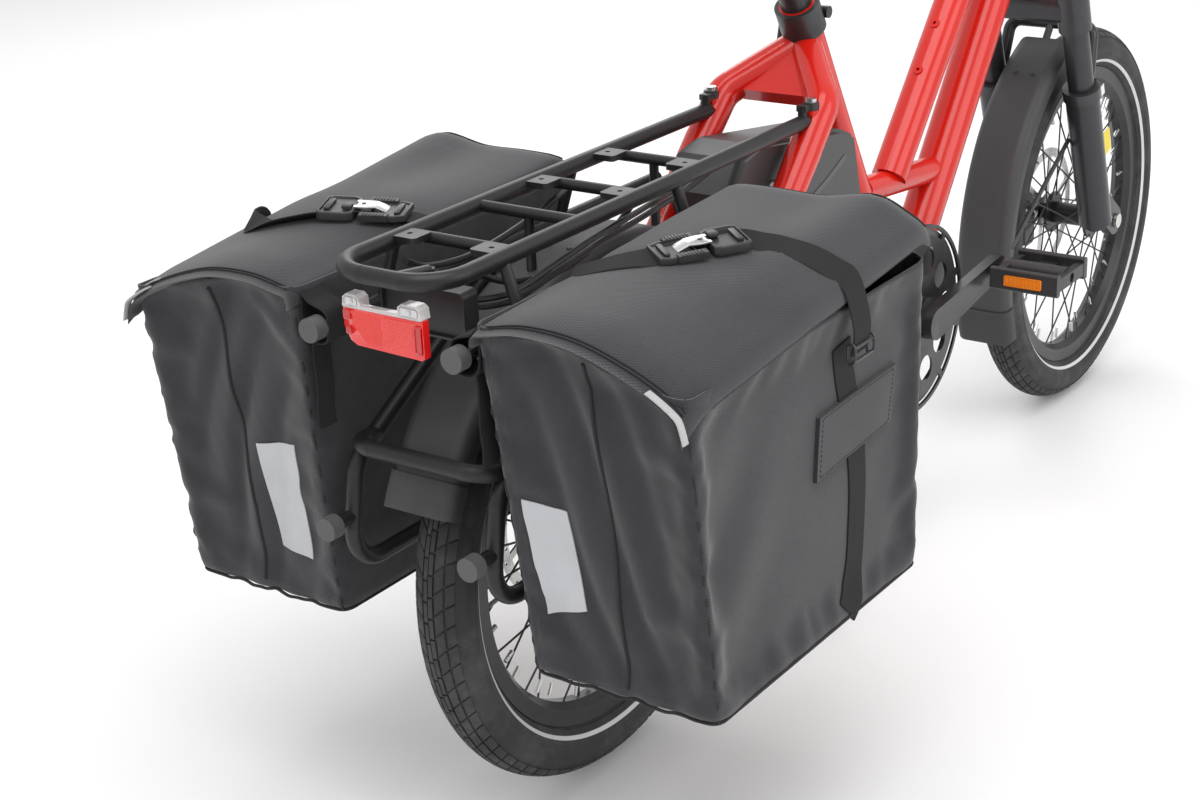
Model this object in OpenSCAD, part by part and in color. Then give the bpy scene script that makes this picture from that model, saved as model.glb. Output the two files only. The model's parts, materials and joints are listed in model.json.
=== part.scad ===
// Compact cargo bicycle with a long rear rack, two roll-top side bags and a centre stand.
// +X points forward, +Y to the rider's left, +Z up; the wheels stand on z = 0.

/* [Overall] */
// Distance between the axles
wheelbase = 1181; // [1120:1:1260]
// Outer radius of both tyres
wheel_r = 262.5; // [255:0.5:268]
// Height of the crank axis above the ground
crank_z = 299; // [292:1:312]
// Crank axis, behind the middle of the wheelbase
crank_back = 10; // [0:1:20]

/* [Wheels] */
// Half the tyre's width
tyre_half_w = 28.4; // [24:0.2:31]
// Wall of the tyre
tyre_wall = 4; // [3:0.5:6]
// Outer radius of the rim's edge
rim_r = 209; // [206:0.5:212]
// Radial depth of the rim
rim_depth = 23; // [16:1:26]
// Half the rim's width
rim_half_w = 15.5; // [14:0.5:18]
// Spokes in each wheel
spoke_n = 32; // [24, 32]
// Radius of one spoke
spoke_r = 1.1; // [0.9:0.1:1.4]
// Radius of the hub flanges
flange_r = 29; // [26:1:32]
// Radius of both through axles
axle_r = 7.5; // [6:0.5:8]
// Radial clearance of every turning or sliding fit
run_fit = 0.05; // [0.02:0.01:0.1]
// Outer radius of the brake discs
disc_r = 90; // [80:1:92]
// Thickness of the brake discs
disc_t = 2; // [1.8:0.1:2.4]

/* [Frame] */
// Radius of the down tube
down_r = 25; // [22:0.5:28]
// Radius of the upper twin tube
top_r = 21; // [18:0.5:24]
// Radius of the seat tube
seat_r = 19.5; // [19:0.5:21]
// Radius of the seatpost
post_r = 17; // [15:0.5:17.2]
// Radius of the head tube
head_r = 25; // [23:0.5:28]
// Radius of the cross tube
cross_r = 16; // [14:0.5:19]
// Radius of the seat stays at the top
stay_r = 18; // [15:0.5:19]
// Radius of the chain stays
chain_stay_r = 11; // [9:0.5:13]
// Half the distance between the seat stays' centre lines
stay_y = 61; // [59:0.5:63]
// Angle of the steering axis from the ground
head_angle = 70.5; // [70:0.1:71]

/* [Fork] */
// Half the distance between the fork legs
leg_y = 62; // [60:0.5:66]
// Radius of the upper fork legs
stanchion_r = 17; // [15:0.5:18]
// Radius of the lower fork legs
lower_r = 22.5; // [21:0.5:24]
// Suspension travel
travel = 45; // [35:1:50]
// Axle distance in front of the leg line, square to it
fork_offset = 49.6; // [46:0.2:53]

/* [Rack] */
// Height of the rack rails' centre line
rack_z = 598; // [590:1:606]
// Half the distance between the rack rails
rack_y = 59; // [56:0.5:62]
// Radius of the rack rails
rack_tube_r = 8; // [7:0.5:9]
// Radius of the crossbars and struts
bar_r = 5.5; // [4.5:0.5:7]
// Radius of the rack's rear corners, at the centre line
rack_corner = 41; // [30:1:48]
// Rear centre line of the rack, behind the rear axle
rack_rear = 291; // [280:1:305]
// Radius of the holes in the rack lugs
lug_hole_r = 2.6; // [2.1:0.1:3.1]
// Radius of the side frame tubes
side_tube_r = 8; // [7:0.5:9]
// Half the distance between the side frames
side_y = 80; // [79:0.5:84]

/* [Bags] */
// Length of a bag at its base
bag_len = 364; // [320:1:380]
// Width of a bag at its base
bag_w = 188; // [160:1:200]
// Height of the bag's outer edge above its base
bag_h = 306; // [270:1:315]
// Height of the bag's base above the ground
bag_z = 240; // [225:1:255]
// Wall of a bag
bag_wall = 4; // [3:0.5:6]
// Thickness of the folded lid
lid_t = 10; // [6:1:14]
// Width of the webbing over the lid
webbing_w = 32; // [25:1:40]

/* [Drive] */
// Length of the crank arms
crank_len = 172; // [160:1:175]
// Teeth on the chainring
ring_teeth = 52; // [44:1:54]
// Teeth on the rear sprocket
cog_teeth = 20; // [18:1:24]
// Radius of the chain guard ring
guard_r = 115; // [113:0.5:118]
// Chain line, from the middle of the bicycle
chain_y = 57; // [55:0.5:59]
// Radius of the crank spindle
spindle_r = 12; // [10:0.5:13]
// Radius of the pedal axles
pedal_axle_r = 6; // [5:0.5:7]

/* [Fenders] */
// Radius of the fenders' outer surface
fender_r = 294; // [286:1:298]
// Half the width of the fenders
fender_half_w = 37; // [34:1:40]
// Thickness of the fenders
fender_t = 2.4; // [2:0.1:3]

/* [Hidden] */
$fn = 48;

gap = 0.4;                      // clearance between bodies that pass close by each other
slip = 0.03;                    // clearance of pieces that sit on or against another of their body
rear_x = -wheelbase / 2;
front_x = wheelbase / 2;
rack_end_x = rear_x - rack_rear;
bag_rear = rear_x - 251.5;      // rear face of a bag at its base
bag_rear_top = bag_rear - 40;   // and at its mouth
lid_rear = bag_rear_top - 12;
// The origin lies under the middle of the whole length
shift_x = -(lid_rear + front_x + wheel_r) / 2;
crank_x = -crank_back;

red = [0.93, 0.16, 0.08];
dark = [0.10, 0.10, 0.11];
grey = [0.27, 0.27, 0.28];
cloth = [0.20, 0.19, 0.21];
silver = [0.75, 0.75, 0.76];

// ---------- helpers ----------

function unit(v) = v / norm(v);
function turn_between(u, w) = acos(max(-1, min(1, u * w)));

// Everything is modelled from the middle of the wheelbase and moved once to the row's origin
module row() translate([shift_x, 0, 0]) children();
module both_sides() { children(); mirror([0, 1, 0]) children(); }
module on_rear() translate([rear_x, 0, wheel_r]) children();
module on_front() translate([front_x, 0, wheel_r]) children();
module on_crank() translate([crank_x, 0, crank_z]) children();
// A cylinder along Y from y0 to y1
module y_rod(r, y0, y1) translate([0, y1, 0]) rotate([90, 0, 0]) cylinder(h = y1 - y0, r = r);
// A profile drawn as (radius, y) turned about the Y axis
module spin_y() rotate([90, 0, 0]) rotate_extrude($fn = 96) children();
// An XZ outline made y0 to y1 thick
module xz_slab(y0, y1) translate([0, y1, 0]) rotate([90, 0, 0]) linear_extrude(y1 - y0) children();
// A YZ outline made x0 to x1 long
module yz_slab(x0, x1) translate([x0, 0, 0]) rotate([90, 0, 90]) linear_extrude(x1 - x0) children();

module rod(a, b, r, r2 = undef) {
    v = b - a;
    translate(a)
        rotate([0, acos(v.z / norm(v)), atan2(v.y, v.x)])
            cylinder(h = norm(v), r1 = r, r2 = is_undef(r2) ? r : r2);
}

// A round bend of a tube, from direction u into direction w at the corner b
module elbow(b, u, w, bend, r) {
    angle = turn_between(u, w);
    start = b - u * bend * tan(angle / 2);
    inward = unit(w - u * (u * w));
    x = -inward;
    z = cross(x, u);
    c = start + inward * bend;
    multmatrix([[x.x, u.x, z.x, c.x], [x.y, u.y, z.y, c.y], [x.z, u.z, z.z, c.z]])
        rotate_extrude(angle = angle) translate([bend, 0]) circle(r + bend_swell);
}
bend_swell = 0.12;              // a bend is this much fatter than its straights, so that they join
bend_overlap = 0.8;             // and its straights run this far into it

// A bent tube: straight runs joined by round bends
module bent_rod(pts, bend, r) {
    n = len(pts);
    dirs = [for (i = [0:n - 2]) unit(pts[i + 1] - pts[i])];
    cut = [for (i = [0:n - 1])
        (i == 0 || i == n - 1) ? 0 : bend * tan(turn_between(dirs[i - 1], dirs[i]) / 2)];
    for (i = [0:n - 2])
        rod(pts[i] + dirs[i] * max(0, cut[i] - bend_overlap),
            pts[i + 1] - dirs[i] * max(0, cut[i + 1] - bend_overlap), r);
    for (i = [1:n - 2])
        elbow(pts[i], dirs[i - 1], dirs[i], bend, r);
}

module round_rect(w, h, r) {
    square([w - 2 * r, h], center = true);
    square([w, h - 2 * r], center = true);
    for (sx = [-1, 1], sy = [-1, 1])
        translate([sx * (w / 2 - r), sy * (h / 2 - r)]) circle(r);
}

// Two circles joined by their outer tangents
module link_shape(a, ra, b, rb) {
    d = norm(b - a);
    dir = atan2(b.y - a.y, b.x - a.x);
    lean = acos((ra - rb) / d);
    translate(a) circle(ra);
    translate(b) circle(rb);
    polygon([
        a + ra * [cos(dir + lean), sin(dir + lean)], b + rb * [cos(dir + lean), sin(dir + lean)],
        b + rb * [cos(dir - lean), sin(dir - lean)], a + ra * [cos(dir - lean), sin(dir - lean)]
    ]);
}

// A tube swept through points by rings, for cords
function tangent(p, i) = unit(p[min(i + 1, len(p) - 1)] - p[max(i - 1, 0)]);
function smooth(p, n) = [for (i = [0:len(p) - 2], k = [0:n - 1])
    let (t = k / n, a = p[max(i - 1, 0)], b = p[i], c = p[i + 1], d = p[min(i + 2, len(p) - 1)])
    0.5 * (2 * b + (c - a) * t + (2 * a - 5 * b + 4 * c - d) * t * t
        + (3 * b - a - 3 * c + d) * t * t * t), p[len(p) - 1]];
function ring(c, t, r, sides) =
    let (side = unit(cross(t, abs(t.z) > 0.9 ? [1, 0, 0] : [0, 0, 1])), up = cross(side, t))
    [for (k = [0:sides - 1]) c + r * (cos(360 * k / sides) * side + sin(360 * k / sides) * up)];
module cord(route, r, sides = 8, steps = 4) {
    p = smooth(route, steps);
    n = len(p);
    pts = [for (i = [0:n - 1]) each ring(p[i], tangent(p, i), r, sides)];
    walls = [for (i = [0:n - 2], k = [0:sides - 1]) let (q = (k + 1) % sides)
        each [[i * sides + k, (i + 1) * sides + q, i * sides + q],
              [i * sides + k, (i + 1) * sides + k, (i + 1) * sides + q]]];
    caps = [[for (k = [0:sides - 1]) k], [for (k = [sides - 1:-1:0]) (n - 1) * sides + k]];
    polyhedron(pts, concat(walls, caps));
}

// ---------- steering line ----------

steer_dir = [-cos(head_angle), 0, sin(head_angle)];
steer_front = [sin(head_angle), 0, cos(head_angle)];
steer_foot = [front_x - fork_offset / sin(head_angle), 0, wheel_r];   // leg line at axle height
function on_steer(z) = steer_foot + steer_dir * (z - wheel_r) / sin(head_angle);
module along_steer(z) translate(on_steer(z)) rotate([0, head_angle - 90, 0]) children();

head_z0 = 640;
head_z1 = 850;
crown_z = 590;

// ---------- frame ----------

seat_low = [11, 0, 345];
seat_top = [-184, 0, 700];
seat_dir = unit(seat_top - seat_low);
function on_seat(z) = seat_low + (seat_top - seat_low) * (z - seat_low.z) / (seat_top.z - seat_low.z);
module along_seat(z) translate(on_seat(z)) rotate([0, atan2(seat_dir.x, seat_dir.z), 0]) children();
seat_len = norm(seat_top - seat_low);

down_low = [82, 0, 332];
down_high = on_steer(716);
top_low = [34, 0, 455];
top_high = on_steer(806);
cross_low = [-36, 0, 456];
cross_high = [150, 0, 437];
drop_y = 72;                    // half the width across the rear dropouts
hub_half = 64;                  // half the length of the rear axle's hub
stay_low = [rear_x + 14, drop_y, wheel_r + 14];
stay_foot_r = 9.5;              // radius of a stay at its dropout
stay_bend = [-236, stay_y, 610];
stay_top = [-176, 8, 650];
boss_at = [0.285, 0.421];       // bottle bosses along the upper tube
boss_r = 2.1;

module head_tube() color(red) row() difference() {
    union() {
        along_steer(head_z0) cylinder(h = (head_z1 - head_z0) / sin(head_angle), r = head_r);
        for (z = [head_z0, head_z1 - 12])
            along_steer(z) cylinder(h = 12, r = head_r + 2.5);
    }
    along_steer(head_z0) translate([0, 0, -1])
        cylinder(h = (head_z1 - head_z0) / sin(head_angle) + 2, r = steerer_r + run_fit);
}

weld_gap = 0.1;                 // between the head tube's wall and the tubes welded to it
module head_space() row() along_steer(head_z0) translate([0, 0, 1])
    cylinder(h = (head_z1 - head_z0) / sin(head_angle) - 2, r = head_r + weld_gap);

module down_tube() color(red) difference() {
    row() rod(down_low, down_high, down_r);
    head_space();
}

module top_tube() color(red) difference() {
    row() union() {
        rod(top_low, top_high, top_r);
        rod(cross_low, cross_high, cross_r);
        for (t = boss_at) boss_place(t) cylinder(h = 3, r = 6);
    }
    head_space();
    row() rod(down_low, down_high, down_r);
    row() along_seat(seat_low.z) cylinder(h = seat_len, r = seat_r);
    row() for (t = boss_at) boss_place(t) translate([0, 0, -14]) cylinder(h = 20, r = boss_r);
}

// A place on the rear upper face of the upper tube
top_dir = unit(top_high - top_low);
module boss_place(t)
    translate(top_low + (top_high - top_low) * t)
        rotate([0, atan2(-top_dir.z, top_dir.x), 0]) translate([0, 0, top_r - 1]) children();

module seat_tube() color(red) row() difference() {
    along_seat(seat_low.z) cylinder(h = seat_len, r = seat_r);
    along_seat(seat_low.z) translate([0, 0, 40]) cylinder(h = seat_len, r = post_r + run_fit);
}

module seat_stays() color(red) row() difference() {
    union() {
        both_sides() {
            bent_rod([stay_top, stay_bend, stay_knee], 34, stay_r);
            rod(stay_knee - stay_dir, stay_low, stay_r + 0.3, stay_foot_r);
            // Lug that takes the front bolt of the rack rail
            translate([rack_front_x, stay_y, rack_z - 14]) cylinder(h = 25, r = 9);
        }
        // Panel between the arms
        translate([stay_bend.x + 6, 0, stay_bend.z - 2]) rotate([0, -40, 0])
            linear_extrude(18, center = true)
                polygon([[0, -stay_y + 8], [0, stay_y - 8], [64, 12], [64, -12]]);
    }
    along_seat(seat_low.z) cylinder(h = seat_len + 20, r = seat_r);
    along_seat(clamp_z - 14) cylinder(h = 60, r = seat_r + clamp_wall + slip);
    both_sides() {
        translate([rack_front_x, stay_y, rack_z + 11]) cylinder(h = 30, r = 8 + gap);
        translate([rack_front_x, stay_y, rack_z]) cylinder(h = 60, r = bolt_r, center = true);
        rod([rack_front_x - 40, rack_y, rack_z], [rack_front_x - 7, rack_y, rack_z], rack_tube_r + gap);
    }
}
stay_dir = unit(stay_low - stay_bend);
stay_knee = stay_bend + stay_dir * 60;
rack_front_x = stay_bend.x - 25; // bolts at the front of the rack

module chain_stays() color(red) row() {
    both_sides() difference() {
        union() {
            rod([crank_x - 62, 34, crank_z - 8], [rear_x + 26, drop_y, wheel_r + 2], chain_stay_r);
            // Dropout plate
            xz_slab(drop_y - 5, drop_y + 5)
                link_shape([rear_x, wheel_r], 24, [rear_x + 40, wheel_r + 12], 15);
        }
        on_rear() y_rod(axle_r, 0, drop_y + 20);
        rod(stay_knee, stay_low, stay_r + 0.3, stay_foot_r);
    }
    // Bridge between the stays, which carries the stand
    translate([stand_pivot.x + 4, 0, 282]) y_rod(14, -46, 46);
    stand_bracket();
}

motor_half_w = 40;
motor_nose = [92, 34];          // middle of the rounded front, from the crank
module motor_unit() color(dark) row() difference() {
    union() {
        xz_slab(-motor_half_w, motor_half_w)
            link_shape([crank_x, crank_z], 50, [crank_x, crank_z] + motor_nose, 40);
        // Rounded back, and round covers on both sides
        translate([crank_x - 40, 0, crank_z + 4]) y_rod(36, 1 - motor_half_w, motor_half_w - 1);
        on_crank() y_rod(38, -motor_half_w - 3, motor_half_w + 3);
        on_crank() y_rod(24, -motor_half_w - 7, motor_half_w + 7);
    }
    on_crank() y_rod(spindle_r + run_fit, -60, 60);
    rod(down_low, down_high, down_r);
    along_seat(seat_low.z) cylinder(h = seat_len, r = seat_r);
    both_sides() rod([crank_x - 62, 34, crank_z - 8], [rear_x + 26, drop_y, wheel_r + 2], chain_stay_r);
}

// ---------- battery ----------

battery_half_w = 41;
battery_mid = [-250, 515];
battery_edge = [[-122, 548], [-150, 560], [-330, 585], [-366, 578], [-392, 545], [-372, 506],
    [-240, 462], [-128, 448], [-104, 470]];
module battery_pack() color(grey) row() difference() {
    union() {
        xz_slab(-battery_half_w + 8, battery_half_w - 8) polygon(battery_edge);
        xz_slab(-battery_half_w, battery_half_w)
            polygon([for (p = battery_edge) battery_mid + (p - battery_mid) * 0.94]);
    }
    along_seat(seat_low.z) cylinder(h = seat_len, r = seat_r + 1);
    on_rear() y_rod(fender_r + 3, -60, 60);
}

// ---------- rack ----------

crossbar_x = [for (d = [-181.5, -81.5, 13.5, 124.5]) rear_x + d];
lug_x = [for (d = [-195.5, -0.5, 110.5]) rear_x + d];
lug_y = 45;
lug_size = [26, 22, 6];
bolt_r = 3;

module rack_deck() color(dark) row() difference() {
    union() {
        bent_rod([[rack_front_x - 10, rack_y, rack_z], [rack_end_x, rack_y, rack_z],
            [rack_end_x, -rack_y, rack_z], [rack_front_x - 10, -rack_y, rack_z]], rack_corner, rack_tube_r);
        for (x = crossbar_x) rod([x, -rack_y, rack_z], [x, rack_y, rack_z], bar_r);
        for (x = lug_x, s = [-1, 1])
            translate([x, s * lug_y, rack_z + 3]) linear_extrude(lug_size.z, center = true)
                round_rect(lug_size.x, lug_size.y + 8, 4);
        // Eyes on top of the front ends of the rails
        both_sides() {
            translate([rack_front_x, stay_y, rack_z + 15]) cylinder(h = 8, r = 8, center = true);
            translate([rack_front_x - 14.6, rack_y, rack_z]) cylinder(h = 17, r = 5);
            translate([rack_front_x - 8, rack_y, rack_z + 15]) cube([20, 11, 6], center = true);
        }
        // Struts down to the rear fender
        for (x = [crossbar_x[1], crossbar_x[3]])
            rod([x, 0, rack_z], [x, 0, wheel_r + fender_top(x) - 4], bar_r - 0.8);
    }
    on_rear() y_rod(fender_r + slip, -20, 20);
    for (x = lug_x, s = [-1, 1])
        translate([x, s * lug_y, rack_z - 20]) cylinder(h = 40, r = lug_hole_r);
    both_sides() translate([rack_front_x, stay_y, rack_z]) cylinder(h = 60, r = bolt_r, center = true);
}
// Height of the rear fender's outer surface over the axle, at x
function fender_top(x) = sqrt(fender_r * fender_r - (x - rear_x) * (x - rear_x));

hang_z = 540;                   // upper side rail, which the bags hang on
low_z = 300;                    // lower side rail
foot_z = 351;                   // lower parking feet
side_end_x = rear_x - 281.5;
hang_front_x = rear_x + 246.5;
hoop_x = rear_x - 251.5;         // the hoop and the turned-down ends of the lower rails
module rack_side_frames() color(dark) row() {
    both_sides() difference() {
        union() {
            rod([side_end_x - 4, side_y - 2, hang_z], [hang_front_x, side_y - 2, hang_z],
                side_tube_r - 1.5);
            bent_rod([[rear_x - 16.5, side_y - 1, hang_z - 3], [hoop_x, side_y, 402],
                [hoop_x - 18, side_y, low_z], [rear_x - 14, side_y, low_z]], 34, side_tube_r);
            rod([hoop_x - 8, side_y, foot_z], [side_end_x - 4, side_y, foot_z], side_tube_r - 1.5);
            // Struts up to the rack rails
            for (x = [rear_x - 199.5, rear_x + 70.5])
                rod([x, side_y - 2, hang_z], [x, rack_y + 1, rack_z - 3], bar_r);
            // Plates that bolt the lower rail to the dropouts
            xz_slab(drop_y + 5, drop_y + 11)
                link_shape([rear_x - 6, wheel_r + 22], 7, [rear_x - 22, low_z], 9);
        }
        rod([rack_end_x, rack_y, rack_z], [rack_front_x, rack_y, rack_z], rack_tube_r + slip);
    }
    // Hoop round the tail of the fender
    bent_rod([[hoop_x + 30, side_y, 417], [hoop_x - 10, side_y - 8, 422],
        [hoop_x - 10, 8 - side_y, 422], [hoop_x + 30, -side_y, 417]], 26, side_tube_r);
}

module rack_bolts() color(silver) row() both_sides() {
    translate([rack_front_x, stay_y, rack_z + 19.2]) cylinder(h = 4, r = 6);
    translate([rack_front_x, stay_y, rack_z - 2]) cylinder(h = 22, r = bolt_r);
}

// Rubber stubs that the bicycle stands on when it is parked upright on its tail
foot_r = 11;
module parking_feet() color([0.35, 0.35, 0.36]) row() both_sides() {
    translate([side_end_x - 4, side_y - 2, hang_z]) rotate([0, -90, 0]) cylinder(h = 14, r = foot_r);
    translate([side_end_x - 4, side_y, foot_z]) rotate([0, -90, 0]) cylinder(h = 14, r = foot_r);
}

// ---------- tail light ----------

light_x = rear_x - 239.5;
light_z = 553;
module tail_light_body() color(dark) row() difference() {
    union() {
        translate([light_x + 10, 0, light_z]) rotate([90, 0, 90]) linear_extrude(20, center = true)
            round_rect(92, 44, 6);
        rod([light_x + 12, 0, light_z], [light_x + 12, 0, rack_z - 10], 6);
        rod([light_x + 12, 0, rack_z - 12], [rack_end_x + rack_tube_r - 2, 0, rack_z - 4], 5);
    }
    translate([rack_end_x, 0, rack_z]) y_rod(rack_tube_r + slip, -20, 20);
    translate([light_x, 0, light_z]) rotate([90, 0, 90]) linear_extrude(8, center = true)
        round_rect(88, 40, 5);
}
module tail_light_lens() color([0.8, 0.1, 0.1]) row() {
    translate([light_x - 1, 0, light_z - 4]) rotate([90, 0, 90]) linear_extrude(10, center = true)
        round_rect(86, 30, 4);
    for (s = [-1, 1]) translate([light_x - 1, s * 28, light_z + 15]) rotate([90, 0, 90])
        linear_extrude(9, center = true) round_rect(28, 9, 3);
}

// ---------- fenders ----------

// Rolled section: a crown with two side skirts, as (radius, y)
fender_drop = 40;
module fender_section(half_w, r, t) difference() {
    translate([r - fender_drop, 0]) round_section(half_w, fender_drop);
    translate([r - fender_drop, 0]) round_section(half_w - t, fender_drop - t);
    translate([r - fender_drop - 20, -60]) square([38, 120]);
}
// A half-rounded box that bulges outwards by h
module round_section(half_w, h) {
    translate([0, -half_w]) square([h - 14, 2 * half_w]);
    translate([0, -half_w + 14]) square([h, 2 * half_w - 28]);
    for (s = [-1, 1]) translate([h - 14, s * (half_w - 14)]) circle(14);
}
// Arc of a fender from angle a0 to a1, counted from straight ahead, up and over
module fender_arc(a0, a1, half_w, r, t)
    rotate([90, 0, 0]) rotate([0, 0, a0]) rotate_extrude(angle = a1 - a0, $fn = 120)
        fender_section(half_w, r, t);

rear_fender_arc = [32, 153];
front_fender_arc = [112, 193];
flap_t = 2;                     // mudflap, outside the fender
fender_stay_r = 2;              // stays of the rear fender
module rear_fender() color(grey) row() {
    on_rear() fender_arc(rear_fender_arc[0], rear_fender_arc[1], fender_half_w, fender_r, fender_t);
    // Stays from the skirts down to the dropouts
    both_sides() rod([rear_x - 155, fender_half_w - 1.5, wheel_r + 231],
        [rear_x - 6, drop_y - 5 - fender_stay_r, wheel_r + 22], fender_stay_r);
}
module rear_mudflap() color(dark) row() on_rear()
    fender_arc(rear_fender_arc[1] - 2, rear_fender_arc[1] + 4.5,
        fender_half_w + flap_t, fender_r + flap_t, flap_t);

module front_fender() color(grey) row() difference() {
    union() {
        on_front()
            fender_arc(front_fender_arc[0], front_fender_arc[1], fender_half_w, fender_r, fender_t);
        // Flat stays from the fork legs to the skirts
        both_sides() rod(on_steer(400) + [-6, leg_y - lower_r - 1, 0],
            [front_x - 276, fender_half_w - 1.5, wheel_r + 32], 3);
        // Bracket under the fork arch
        rod([front_x - 108, 0, wheel_r + 268], arch_mid + [-4, 0, -3], 5);
    }
    both_sides() lower_leg(slip);
    translate(arch_mid) y_rod(arch_r + slip, -20, 20);
}
module front_mudflap() color(dark) row() on_front()
    fender_arc(front_fender_arc[1] - 2, front_fender_arc[1] + 8,
        fender_half_w + flap_t, fender_r + flap_t, flap_t);

// ---------- wheels ----------

module tyre() color([0.13, 0.13, 0.13]) spin_y() difference() {
    translate([wheel_r - tyre_half_w, 0]) circle(tyre_half_w);
    translate([wheel_r - tyre_half_w, 0]) circle(tyre_half_w - tyre_wall);
    translate([0, -50]) square([rim_r - 4, 100]);
    translate([0, 1 - rim_half_w]) square([rim_r + 4, 2 * rim_half_w - 2]);
    translate([0, -rim_half_w]) square([rim_r, 2 * rim_half_w]);
}
module rim() color(dark) spin_y() polygon([
    [rim_r - rim_depth, -6], [rim_r - rim_depth + 7, -rim_half_w + 1], [rim_r, -rim_half_w],
    [rim_r, -rim_half_w + 2], [rim_r - 6, -rim_half_w + 3], [rim_r - 9, -6],
    [rim_r - 9, 6], [rim_r - 6, rim_half_w - 3], [rim_r, rim_half_w - 2],
    [rim_r, rim_half_w], [rim_r - rim_depth + 7, rim_half_w - 1], [rim_r - rim_depth, 6]
]);

// Spokes leave each flange in two fans that lean opposite ways
module spokes(left_y, right_y) color(silver) {
    step = 720 / spoke_n;
    lean = 4 * step / 2;
    for (k = [0:spoke_n / 2 - 1], s = [-1, 1]) {
        fan = (k % 2 == 0) ? 1 : -1;
        a = k * step + (s > 0 ? step / 2 : 0);
        b = a + fan * lean;
        y = (s > 0 ? left_y : -right_y) + fan * 2.2;
        rod([(flange_r - 4) * cos(a), y, (flange_r - 4) * sin(a)],
            [(rim_r - rim_depth + 2) * cos(b), s * 3, (rim_r - rim_depth + 2) * sin(b)], spoke_r);
    }
}

hub_neck = 0.72;                // radius of a hub's ends, as a share of its body's
front_hub_r = 15;
rear_hub_r = 26;
module hub(left_y, right_y, end_l, end_r, body_r, bore) difference() {
    union() {
        y_rod(body_r, -right_y, left_y);
        y_rod(body_r * hub_neck, -end_r, end_l);
        for (y = [left_y, -right_y]) translate([0, y, 0]) y_rod(flange_r, -2, 2);
    }
    y_rod(bore, -end_r - 1, end_l + 1);
}

module disc(y, bore) color(silver) translate([0, y, 0]) difference() {
    union() {
        spin_y() translate([disc_r - 13, -disc_t / 2]) square([13, disc_t]);
        for (k = [0:5]) rotate([0, 60 * k, 0]) xz_slab(-disc_t / 2, disc_t / 2)
            link_shape([18, 0], 4, [(disc_r - 9) * cos(20), (disc_r - 9) * sin(20)], 4);
        y_rod(24, -disc_t / 2, disc_t / 2);
    }
    y_rod(bore, -5, 5);
    for (k = [0:35]) rotate([0, 10 * k, 0])
        translate([disc_r - 4 - 5 * (k % 2), 0, 0]) y_rod(2, -3, 3);
}

front_left = 24;
front_right = 34;
front_end = 46;
module front_tyre() row() on_front() tyre();
module front_rim() row() on_front() rim();
module front_spokes() row() on_front() spokes(front_left, front_right);
module front_hub() color(dark) row() on_front()
    hub(front_left, front_right, front_end, front_end, front_hub_r, axle_r + run_fit);
module front_disc() row() on_front() disc(front_end - 8, hub_neck * front_hub_r + slip);
module front_axle() color(silver) row() on_front() {
    y_rod(axle_r, -leg_y - 8, leg_y + 8);
    y_rod(12, leg_y + 8, leg_y + 12);
    translate([0, -leg_y - 12, 0]) y_rod(10, 0, 4);
}

rear_left = 34;
rear_right = 30;
rear_end = drop_y - 8;
module rear_tyre() row() on_rear() tyre();
module rear_rim() row() on_rear() rim();
module rear_spokes() row() on_rear() spokes(rear_left, rear_right);
module rear_hub() color(dark) row() on_rear()
    hub(rear_left, rear_right, rear_end, 44, rear_hub_r, axle_r + run_fit);
module rear_disc() row() on_rear() disc(rear_end - 12, hub_neck * rear_hub_r + slip);
module rear_axle() color(silver) row() on_rear() {
    y_rod(axle_r, -drop_y - 8, drop_y + 8);
    both_sides() translate([0, drop_y + 5, 0]) y_rod(13, 0, 6);
}

// A caliper straddles the edge of its disc, at an angle up from straight ahead
caliper_in = 8;                 // how far the disc's edge runs into it
module caliper(y, angle) color(dark) rotate([0, -angle, 0]) translate([disc_r - caliper_in, y, 0])
    difference() {
        rotate([90, 0, 0]) linear_extrude(30, center = true) round_rect(30, 46, 7);
        translate([caliper_in - 15 + 1.5, 0, 0]) cube([30, disc_t + 3, 60], center = true);
    }
module front_caliper() row() difference() {
    on_front() caliper(front_end - 8, 182);
    lower_leg(slip);
    on_front() translate([0, front_end, 0]) y_rod(26, 0, 20);
}
module rear_caliper() row() difference() {
    on_rear() caliper(rear_end - 12, 22);
    rod(stay_knee, stay_low, stay_r + 0.3 + slip, stay_foot_r + slip);
    rod([crank_x - 62, 34, crank_z - 8], [rear_x + 26, drop_y, wheel_r + 2], chain_stay_r + slip);
    xz_slab(drop_y - 5 - slip, drop_y + 5)
        link_shape([rear_x, wheel_r], 24 + slip, [rear_x + 40, wheel_r + 12], 15 + slip);
}

// ---------- fork ----------

steerer_r = 14.3;
arch_mid = on_steer(552) + [66, 0, 0];
leg_top_z = 478;                // top of the lower legs
leg_low_z = 276;
crown_half = 20;                // half the length of the crown, front to back
module fork_crown() color(dark) row() difference() {
    union() {
        along_steer(crown_z - 10) cylinder(h = head_z1 - crown_z + 70, r = steerer_r);
        along_steer(crown_z + 26) cylinder(h = 14, r = head_r);
        both_sides() {
            translate([0, leg_y, 0]) along_steer(crown_z - 28) cylinder(h = 54, r = stanchion_r + 4.5);
            translate([0, leg_y, 0]) along_steer(leg_low_z + 16 + travel)
                cylinder(h = crown_z - leg_low_z - travel, r = stanchion_r);
        }
        // Bridge of the crown
        along_steer(crown_z + 2) rotate([90, 0, 0])
            linear_extrude(2 * leg_y, center = true) round_rect(2 * crown_half, 34, 9);
        // Preload and lockout knobs
        both_sides() translate([0, leg_y, 0]) along_steer(crown_z + 20) cylinder(h = 17, r = 12);
    }
}

arch_r = 8;
// Left lower leg, grown by a clearance
module lower_leg(grow) translate([0, leg_y, 0]) along_steer(leg_low_z)
    cylinder(h = (leg_top_z - leg_low_z) / sin(head_angle), r = lower_r + grow);

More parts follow.
